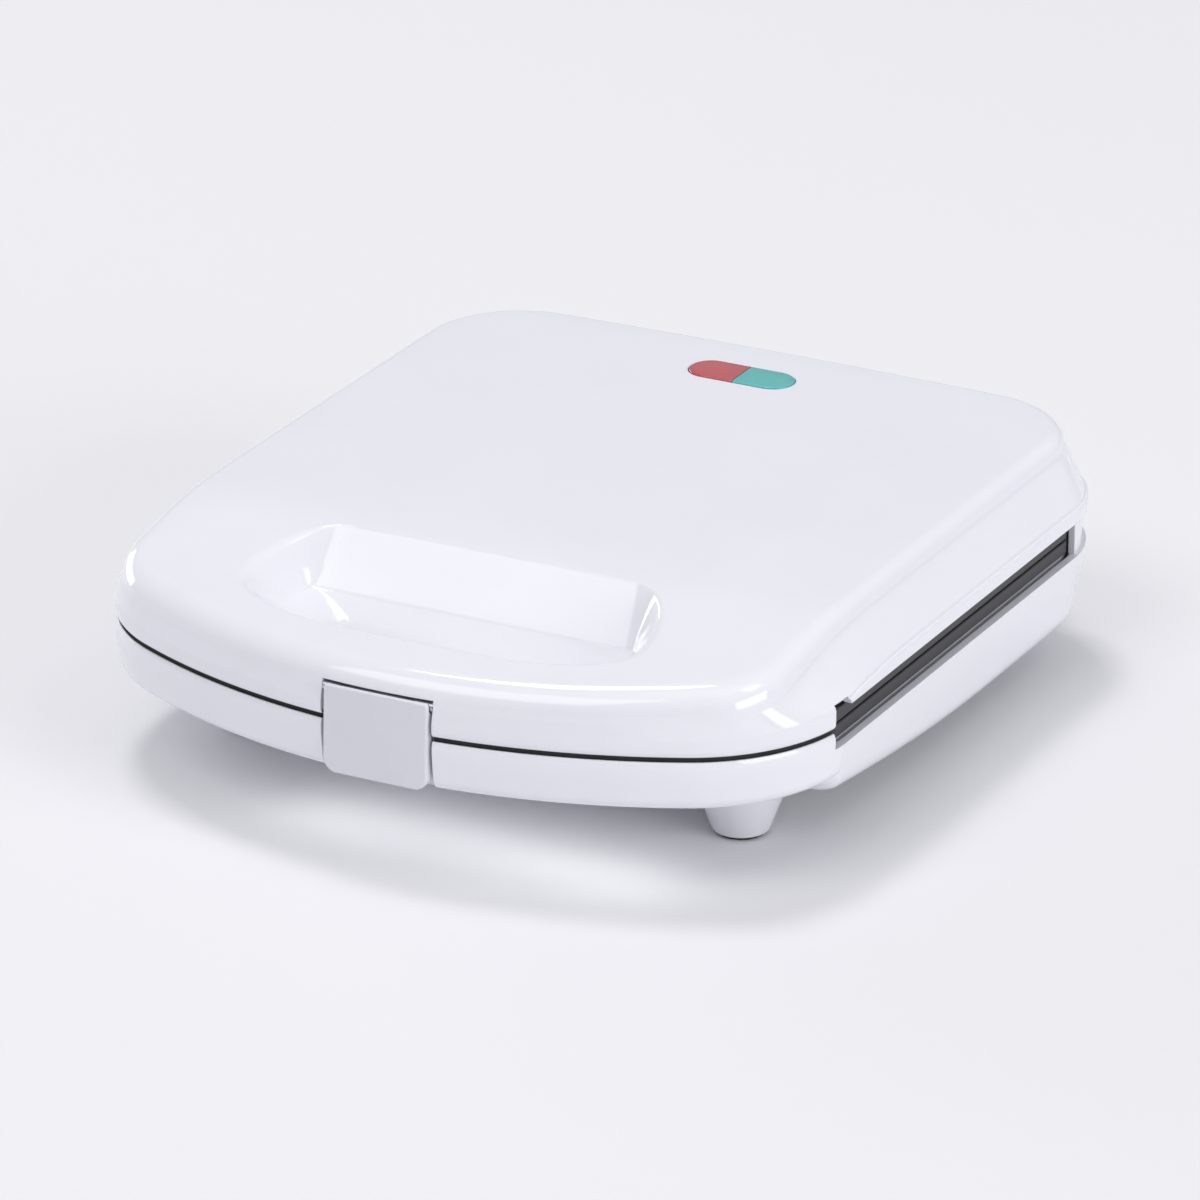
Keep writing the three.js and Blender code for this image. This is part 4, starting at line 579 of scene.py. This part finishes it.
def make_base():
    base = keep(grip_form(0), box("front", -WIDTH, WIDTH, -PAST, BELLY_FRONT + 5, -DEPTH, DEPTH))
    join(base, belly_form(0), *(foot(x, y) for x, y in FEET))
    hollow = keep(grip_form(WALL), box("front", -WIDTH, WIDTH, -PAST, BELLY_FRONT + WALL * 2, -DEPTH, DEPTH))
    cut(base, join(hollow, belly_form(WALL)))
    cut(base, *(foot_core(x, y) for x, y in FRONT_FEET))
    gap = box("gap", -WIDTH, WIDTH, GAP_FRONT, DEPTH + PAST, -GAP_HALF, PAST)
    cut(base, front_ring(*SEAM_SLOT, -SLOT_DEPTH, 0), gap)
    # The strip that stands in the seam, painted dark further on as painted shade for the gap between lid and base
    join(base, front_ring(*SEAM_SHADE_STRIP, -3.2, 0.4))
    # The shroud, a low wall across the rear of the gap
    shroud_inset, shroud_wall, shroud_lap, shroud_top, shroud_run = 1.5, 2, 3, 4.5, 36
    shroud = prism("shroud", SEAM + SEAM_IN * shroud_inset, -GAP_HALF - shroud_lap, shroud_top)
    cut(shroud, prism("shroud_hollow", SEAM + SEAM_IN * (shroud_inset + shroud_wall), -PAST, PAST))
    keep(shroud, box("rear", -WIDTH, WIDTH, DEPTH - shroud_run, DEPTH, -PAST, PAST))
    join(base, shroud)
    # The hinge ears, one to each side of a lug, on webs out of the rear wall
    root, web_foot, shoulder = DEPTH - WALL - shroud_inset / 2, -14.08, 0.7 * BOSS
    web_profile = [(root, web_foot), (root + 2, web_foot), (PIN_Y + shoulder, PIN_Z - shoulder),
                   (PIN_Y, PIN_Z + BOSS), (root, PIN_Z + BOSS)]
    for side in (-1, 1):
        for near, far in EARS:
            x0, x1 = sorted((side * near, side * far))
            web = prism_x("web", web_profile, x0, x1)
            join(base, join(web, drum_x("ear", BOSS, x0, x1, PIN_Y, PIN_Z)))
    block = box("block", -BLOCK_HALF, BLOCK_HALF, 0, LATCH_NOTCH_DEPTH, -DEPTH, -LID_EDGE - 0.2)
    join(base, keep(block, grip_form(WALL / 2)))
    cut(base, box("pocket", -LATCH_ROOM, LATCH_ROOM, -PAST, LATCH_NOTCH_DEPTH - WALL, -PAST, PAST))
    # The ledge that the latch's hook goes under
    join(base, box("ledge", -12.5, 12.5, LATCH_FRONT + 3.3, 7.15, LATCH_BOTTOM + 2.4, LATCH_BOTTOM + 5.2))
    (front_x, front_y), (rear_x, rear_y) = BASE_SCREWS
    rear_floor = float(belly_depth(rear_y))
    for side in (-1, 1):
        join(base, boss(side * rear_x, rear_y, rear_floor + SINK, -7.8))
        join(base, boss(side * front_x, front_y, GRIP_FLOOR + SINK, -3.3))
    # The terminal block's seat, then the cord inlet
    seat_y, seat_half, seat_reach = 234, 11, 6.5
    floor = float(belly_depth(seat_y)) + WALL
    join(base, box("seat", -seat_half, seat_half, seat_y - seat_reach, seat_y + seat_reach, floor - SINK, floor + 3))
    pad_front, pad_rear = 248.8, 253.2
    join(base, drum_y("pad", INLET_PAD, pad_front, pad_rear, INLET_X, INLET_Z))
    cut(base, drum_y("pad_recess", INLET_PAD, pad_rear, 273, INLET_X, INLET_Z))
    cut(base, drum_y("inlet", INLET_HOLE, DEPTH - PAST, DEPTH + PAST, INLET_X, INLET_Z))
    for x, y in FEET:
        cut(base, drum("stem", STEM_HOLE, -DEPTH, FOOT_TIP + STEM_RISE, x, y, n=32))
    for side in (-1, 1):
        cut(base, drum_x("pin_hole", PIN_HOLE, *sorted((side * 54.0, side * 81.1)), PIN_Y, PIN_Z))
        for x, y, under in ((front_x, front_y, GRIP_FLOOR), (rear_x, rear_y, rear_floor)):
            cut(base, drum("screw_hole", SCREW_HOLE, -DEPTH, PAST, side * x, y, n=32))
            cut(base, drum("head_hole", HEAD_HOLE, -DEPTH, under + HEAD_SEAT, side * x, y, n=48))
    return base


# Latch: a soft-edged plate with a barrel at its pin, open above, and a hook at its foot
def latch_outline(inset):
    n = 14
    half, top, bottom = LATCH_HALF - inset, LATCH_TOP - inset, LATCH_BOTTOM + inset
    low_r, top_r = 4.4 - inset, 1.4 - inset
    points = []
    for cx, cz, r, start in ((half, bottom, low_r, -90), (half, top, top_r, 0), (-half, top, top_r, 90),
                             (-half, bottom, low_r, 180)):
        sx, sz = (1 if cx > 0 else -1), (1 if cz > 0 else -1)
        for i in range(n + 1):
            a = math.radians(start + 90 * i / n)
            points.append((cx - sx * r + r * math.cos(a), cz - sz * r + r * math.sin(a)))
    return np.array(points)


def make_latch():
    soft = 0.85
    rows = []
    for t in np.linspace(0, 1, 7):
        a = t * math.pi / 2
        rows.append((LATCH_FRONT + soft * (1 - math.cos(a)), soft * (1 - math.sin(a))))
    rows += [(LATCH_FRONT + 2.7, 0.0), (LATCH_FRONT + 3, 0.4)]
    rings = []
    for y, inset in rows:
        x, z = latch_outline(inset).T
        rings.append(np.c_[x, y + LATCH_LEAN * (z - LATCH_BOTTOM), z])
    latch = loft("latch_piece", rings)
    hook_profile = [(1.8, 0.4), (3.85, 0.4), (5.1, 1.05), (5.1, 2.1), (1.8, 2.1)]
    hook = prism_x("hook", [(y, LATCH_BOTTOM + rise) for y, rise in hook_profile], -11, 11)
    barrel_radius, barrel_half = 2.4, 12
    join(latch, drum_x("barrel", barrel_radius, -barrel_half, barrel_half, LATCH_PIN_Y, LATCH_PIN_Z), hook)
    # The barrel's top slopes down to the rear, under the notch's roof, so its bore is open above the pin
    cut(latch, prism_x("slope", [(1.1, LATCH_TOP + 0.1), (8, 8.3), (8, 14), (1.1, 14)], -PAST, PAST))
    # 44 facets, because the boolean hangs with 48
    return cut(latch, drum_x("pin_hole", PIN_HOLE, -40, 40, LATCH_PIN_Y, LATCH_PIN_Z, 44))


def make_latch_pin():
    """The pin ends just short of the notch's sides, because the lid piece has no holes for it."""
    radius, half = 1.5, 17.5
    return drum_x("latch_pin_piece", radius, -half, half, LATCH_PIN_Y, LATCH_PIN_Z)


# Signal window: a pill in two halves with a softened upper edge
LENS_Y, LENS_HALF, LENS_RADIUS = 226, 17, 6.8
LENS_RISE, LENS_ROUND, LENS_CLEARANCE, LENS_WALL, LENS_FLANGE = 0.5, 0.6, 0.3, 1.6, 1.1
LENS_TOP = float(top_height(0, LENS_Y)) + LENS_RISE
LENS_SEAT = LENS_TOP - LENS_RISE - WALL


def pill(grow):
    r = LENS_RADIUS + grow
    half = LENS_HALF + grow
    return np.array(rounded_rect(-half, half, LENS_Y - r, LENS_Y + r, r - 0.001, 20))


def make_lens(name, side):
    bottom = LENS_SEAT - LENS_CLEARANCE - LENS_FLANGE
    rows = [(0, bottom), (0, LENS_TOP - LENS_ROUND)]
    for t in np.linspace(0.15, 1, 6):
        a = t * math.pi / 2
        rows.append((-LENS_ROUND * (1 - math.cos(a)), LENS_TOP - LENS_ROUND + LENS_ROUND * math.sin(a)))
    lens = loft(name, [level(pill(grow), z) for grow, z in rows])
    join(lens, prism("flange", pill(LENS_WALL), bottom, LENS_SEAT - LENS_CLEARANCE))
    cut(lens, prism("hollow", pill(-LENS_WALL), 0, LENS_TOP - LENS_WALL))
    start, end = sorted((side * 0.15, side * 2 * LENS_HALF))
    return keep(lens, box("half", start, end, 0, DEPTH, 0, DEPTH))


# Cooking plates: pockets pressed into a rimmed casting, a ridge and a grease channel
POCKET_IN, POCKET_OUT, POCKET_FRONT, POCKET_REAR = 5.5, 104.0, 75.7, 202.7
POCKET_DEPTH, POCKET_WALL, POCKET_DRAFT, RIDGE_HALF = 9.5, 2.2, 2.7, 1.7
# Half width, front, rear and corner radius of the plate and of its grease channel
PLATE, CHANNEL = (112, 60, 218.4, 3), (108.8, 70.9, 207.5, 11.8)
PLATE_RIM, PLATE_FACE = 2.6, 2.85
CHANNEL_WIDTH, CHANNEL_DEPTH = 2.4, 1.45
BOSS_Y = (POCKET_FRONT + POCKET_REAR) / 2


def round_corners(points, radius):
    steps = 8
    out = []
    for i, point in enumerate(points):
        before, after = points[i - 1], points[(i + 1) % len(points)]
        entry = mix(point, before, radius / np.linalg.norm(point - before))
        leave = mix(point, after, radius / np.linalg.norm(point - after))
        for t in np.linspace(0, 1, steps):
            out.append(entry * (1 - t) ** 2 + 2 * point * t * (1 - t) + leave * t**2)
    return np.array(out)


def pocket_plan(side, front_half, draw):
    leg_x = POCKET_IN + draw if front_half else POCKET_OUT - draw
    leg_y = POCKET_FRONT + draw if front_half else POCKET_REAR - draw
    run, rise = POCKET_OUT - POCKET_IN, POCKET_REAR - POCKET_FRONT
    away = (RIDGE_HALF + draw) * (-1 if front_half else 1) * math.hypot(run, rise) / run
    line = POCKET_REAR + away
    across = POCKET_IN + (line - leg_y) * run / rise
    along = line - (leg_x - POCKET_IN) * rise / run
    outline = round_corners(np.array([(leg_x, leg_y), (across, leg_y), (leg_x, along)]), 7)
    outline[:, 0] *= side
    x, y = outline.T
    area = np.sum(x * np.roll(y, -1) - np.roll(x, -1) * y)
    return outline if area > 0 else outline[::-1]


def pocket_form(side, front_half, grow):
    """A pocket with drafted walls, or the casting round it where grow is its wall."""
    lean = POCKET_DRAFT / POCKET_DEPTH
    depth = POCKET_DEPTH + grow
    rings = []
    rows = [(-1.0 if grow == 0 else 0.25, 0.0)]
    if grow == 0:
        # The pocket's softened upper edge
        rows += [(0.25, -0.55), (0.5, -0.2), (0.95, 0.0)]
    # The rounding into its floor
    rows += [(depth - 2.2, 0.0), (depth - 1.1, 0.25), (depth - 0.35, 0.8), (depth, 1.7)]
    for z, more in rows:
        draw = lean * z - grow + more - (0.6 if z < 0 else 0)
        rings.append(level(pocket_plan(side, front_half, draw), z))
    return loft("pocket", rings)


def plate_outline(sizes, inset):
    half, front, rear, corner = sizes
    return rounded_rect(inset - half, half - inset, front + inset, rear - inset, corner - inset, 10)


def make_plate(name):
    rows = ((0.3, 0.25), (0, 0.55), (0, 4.15), (0.25, 4.4), (1.3, 4.4), (1.3, 5.0), (1.5, 5.2))
    plate = loft(name, [level(plate_outline(PLATE, inset), z) for inset, z in rows])
    cut(plate, prism("hollow", plate_outline(PLATE, PLATE_RIM), PLATE_FACE, PAST))
    boss_top, bolt_hole, bolt_start = 18.0, 2.2, 9.6
    join(plate, drum("plate_boss", BOSS, 0.25, boss_top, 0, BOSS_Y, n=40))
    sides = [(side, ahead) for side in (1, -1) for ahead in (True, False)]
    join(plate, *(pocket_form(*s, POCKET_WALL) for s in sides))
    cut(plate, *(pocket_form(*s, 0) for s in sides))
    channel = prism("channel", plate_outline(CHANNEL, 0), -0.25, CHANNEL_DEPTH)
    cut(channel, prism("island", plate_outline(CHANNEL, CHANNEL_WIDTH), -1, 2))
    cut(plate, channel)
    return cut(plate, drum("bolt_hole", bolt_hole, bolt_start, 2 * PAST, 0, BOSS_Y, n=32))


def turn_over(obj):
    mesh = obj.data
    mesh.transform(Matrix.Scale(-1, 4, Vector((0, 0, 1))))
    mesh.flip_normals()
    return obj


# Materials: every colour, roughness and relief comes from noise in the piece's own space
def material(name, low, high, rough, spots, grain, relief, soft_edge=0.0, **fixed):
    made = bpy.data.materials.new(name)
    made.use_nodes = True
    tree = made.node_tree
    shader = tree.nodes["Principled BSDF"]
    for socket, value in fixed.items():
        shader.inputs[socket.replace("_", " ")].default_value = value
    new, link = tree.nodes.new, tree.links.new
    space = new("ShaderNodeTexCoord").outputs["Object"]
    clouds = new("ShaderNodeTexNoise")
    clouds.inputs["Scale"].default_value = spots
    clouds.inputs["Detail"].default_value = 3
    link(space, clouds.inputs["Vector"])
    ramp_node = new("ShaderNodeValToRGB")
    ramp_node.color_ramp.elements[0].position = 0.3
    ramp_node.color_ramp.elements[0].color = (*low, 1)
    ramp_node.color_ramp.elements[1].position = 0.7
    ramp_node.color_ramp.elements[1].color = (*high, 1)
    link(clouds.outputs["Fac"], ramp_node.inputs["Fac"])
    link(ramp_node.outputs["Color"], shader.inputs["Base Color"])
    dull = new("ShaderNodeMapRange")
    dull.inputs["To Min"].default_value, dull.inputs["To Max"].default_value = rough
    link(clouds.outputs["Fac"], dull.inputs["Value"])
    link(dull.outputs["Result"], shader.inputs["Roughness"])
    fine = new("ShaderNodeTexNoise")
    fine.inputs["Scale"].default_value = grain
    fine.inputs["Detail"].default_value = 2
    link(space, fine.inputs["Vector"])
    bump = new("ShaderNodeBump")
    bump.inputs["Strength"].default_value = 1
    bump.inputs["Distance"].default_value = relief
    link(fine.outputs["Fac"], bump.inputs["Height"])
    if soft_edge:
        edge = new("ShaderNodeBevel")
        edge.samples = 6
        edge.inputs["Radius"].default_value = soft_edge
        link(edge.outputs["Normal"], bump.inputs["Normal"])
    link(bump.outputs["Normal"], shader.inputs["Normal"])
    return made


MATERIALS = {
    "housing_plastic": material("housing_plastic", (0.80, 0.80, 0.85), (0.82, 0.82, 0.865), (0.05, 0.08), 25, 420,
                                0.000004, 0.0004),
    "latch_plastic": material("latch_plastic", (0.70, 0.70, 0.76), (0.72, 0.72, 0.78), (0.22, 0.3), 40, 900, 0.000006,
                              0.0003),
    "plate_coating": material("plate_coating", (0.024, 0.024, 0.027), (0.031, 0.031, 0.034), (0.38, 0.5), 120, 2200,
                              0.00003, 0.0004),
    "element_sheath": material("element_sheath", (0.10, 0.09, 0.08), (0.17, 0.155, 0.14), (0.4, 0.6), 90, 1500,
                               0.00002, Metallic=0.8),
    "sheet_metal": material("sheet_metal", (0.55, 0.56, 0.58), (0.66, 0.67, 0.69), (0.3, 0.45), 50, 1800, 0.00001,
                            Metallic=0.95),
    "steel": material("steel", (0.48, 0.48, 0.5), (0.6, 0.6, 0.62), (0.25, 0.4), 200, 2400, 0.00001, Metallic=1.0),
    "rubber": material("rubber", (0.016, 0.016, 0.017), (0.028, 0.028, 0.03), (0.75, 0.9), 150, 1200, 0.00006),
    "ceramic": material("ceramic", (0.72, 0.69, 0.62), (0.8, 0.77, 0.7), (0.6, 0.75), 200, 1500, 0.00004),
    "red_lens": material("red_lens", (0.88, 0.2, 0.21), (0.92, 0.23, 0.24), (0.07, 0.12), 80, 900, 0.000004,
                         Transmission_Weight=0.55),
    "green_lens": material("green_lens", (0.22, 0.84, 0.8), (0.25, 0.88, 0.84), (0.07, 0.12), 80, 900, 0.000004,
                           Transmission_Weight=0.55),
    "lamp_glass": material("lamp_glass", (0.85, 0.6, 0.35), (0.95, 0.72, 0.45), (0.05, 0.1), 90, 800, 0.000004,
                           Transmission_Weight=0.6),
    "phenolic": material("phenolic", (0.03, 0.025, 0.022), (0.05, 0.042, 0.036), (0.35, 0.5), 120, 1500, 0.00002),
    "fuse_brass": material("fuse_brass", (0.55, 0.4, 0.16), (0.7, 0.52, 0.24), (0.25, 0.4), 150, 2000, 0.00001,
                           Metallic=1.0),
}

# The CAD nodes that stay, by the slot that finishes them
SIDES, ENDS, HALVES = ("left", "right"), ("front", "rear"), ("lower", "upper")
KEPT = {
    "housing_plastic": [f"{half}_deck" for half in HALVES],
    "element_sheath": [f"{half}_heating_element" for half in HALVES],
    "sheet_metal": [f"{half}_{part}" for part in ("element_strip", "heat_pan") for half in HALVES],
    "steel": [f"{half}_plate_bolt" for half in HALVES]
    + [f"{part}_{side}" for part in ("hinge_pin", "lamp_screw") for side in SIDES]
    + [f"{part}_screw_{end}_{side}" for part in ("base", "lid") for end in ENDS for side in SIDES],
    "rubber": [f"foot_pad_{end}_{side}" for end in ENDS for side in SIDES] + ["cord_inlet_grommet"],
    "ceramic": [f"{half}_element_sleeve_{side}" for half in HALVES for side in SIDES],
    "lamp_glass": ["power_lamp", "ready_lamp"],
    "phenolic": ["lamp_carrier", "terminal_block", "thermostat"],
    "fuse_brass": ["thermal_fuse"],
}
for slot_name, node_names in KEPT.items():
    for node_name in node_names:
        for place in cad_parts[node_name].material_slots:
            place.material = MATERIALS[slot_name]


SHARP_ANGLE = math.radians(28)


def finish_piece(obj, name, body, node, slot_name):
    """Bring a piece made in millimetres into the frame, and put it on its body and slot."""
    obj.name = name
    mesh = obj.data
    mesh.name = name
    mesh.transform(Matrix.Translation(SHIFT) @ Matrix.Scale(MM, 4))
    mesh.materials.clear()
    mesh.materials.append(MATERIALS[slot_name])
    mesh.polygons.foreach_set("use_smooth", [True] * len(mesh.polygons))
    mesh.set_sharp_from_angle(angle=SHARP_ANGLE)
    mesh.update()
    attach(obj, body)
    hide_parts(node)


finish_piece(make_lid(), "lid_cover_piece", "lid", "lid_cover", "housing_plastic")
base_piece = make_base()
finish_piece(base_piece, "base_housing_piece", "base", "base_housing", "housing_plastic")
# The strip that stands in the seam is painted dark with the rubber material: painted shade for the gap between lid
# and base
base_piece.data.materials.append(MATERIALS["rubber"])
centres = np.array([(face.center - SHIFT) / MM for face in base_piece.data.polygons])
shade_mask_outside, shade_mask_inside = 1.3, 2.6
seam_shade_mask = inside(centres, SEAM + SEAM_IN * shade_mask_outside) & ~inside(centres, SEAM + SEAM_IN * shade_mask_inside)
seam_shade_mask &= (abs(centres[:, 2]) < 3) & (centres[:, 1] < GAP_FRONT)
base_piece.data.polygons.foreach_set("material_index", seam_shade_mask.astype(int))
finish_piece(make_latch(), "latch_piece", "latch", "latch", "latch_plastic")
finish_piece(make_latch_pin(), "latch_pin_piece", "lid", "latch_pin", "steel")
finish_piece(make_lens("power_lens_piece", -1), "power_lens_piece", "lid", "power_lens", "red_lens")
finish_piece(make_lens("ready_lens_piece", 1), "ready_lens_piece", "lid", "ready_lens", "green_lens")
finish_piece(make_plate("upper_plate_piece"), "upper_plate_piece", "lid", "upper_cooking_plate", "plate_coating")
lower_plate = turn_over(make_plate("lower_plate_piece"))
finish_piece(lower_plate, "lower_plate_piece", "base", "lower_cooking_plate", "plate_coating")

# Studio: a pale floor, a key high behind on the left, and soft light from above, the front and both sides
reach = 9.0
floor_corners = [(-reach, -reach, 0), (reach, -reach, 0), (reach, reach, 0), (-reach, reach, 0)]
floor = add_object("floor", floor_corners, [(0, 1, 2, 3)])
floor_paper = material("floor_paper", (0.80, 0.80, 0.82), (0.81, 0.81, 0.83), (0.8, 0.9), 1, 300, 0.00001)
floor.data.materials.append(floor_paper)

world = bpy.data.worlds.new("studio")
world.use_nodes = True
background = world.node_tree.nodes["Background"]
background.inputs["Color"].default_value = (0.94, 0.94, 1.0, 1)
background.inputs["Strength"].default_value = 0.43
scene.world = world


def softbox(name, place, aim, width, height, power):
    data = bpy.data.lights.new(name, "AREA")
    data.shape = "RECTANGLE"
    data.size, data.size_y = width, height
    data.energy = power
    light = bpy.data.objects.new(name, data)
    scene.collection.objects.link(light)
    light.location = place
    light.rotation_euler = (Vector(aim) - Vector(place)).to_track_quat("-Z", "Y").to_euler()
    return light


# Place, width, height and power of each softbox, all aimed at the part
MIDDLE = (0, 0, 0.03)
SOFTBOXES = {
    "key": ((-1.32, 1.0, 4.42), 1.1, 1.1, 59),
    "overhead": ((0.4, -0.8, 4.0), 3.0, 2.0, 10),
    "front": ((-0.9, -2.5, 3.3), 3.0, 1.8, 42),
    "corner": ((1.9, 0.15, 3.0), 0.75, 1.0, 8),
    "right": ((4.5, -0.9, 1.5), 3.2, 2.2, 90),
    "left": ((-4.5, 1.3, 0.8), 3.0, 1.4, 60),
}
for light_name, (spot, wide, tall, watts) in SOFTBOXES.items():
    softbox(light_name, spot, MIDDLE, wide, tall, watts)
# The light that the pale floor gets below the front grip
under = softbox("under", (0.018, -0.104, 0.023), (0.018, -0.104, 0), 0.12, 0.016, 0.0052)
under.data.spread = math.radians(130)
scene.view_settings.view_transform = "Standard"
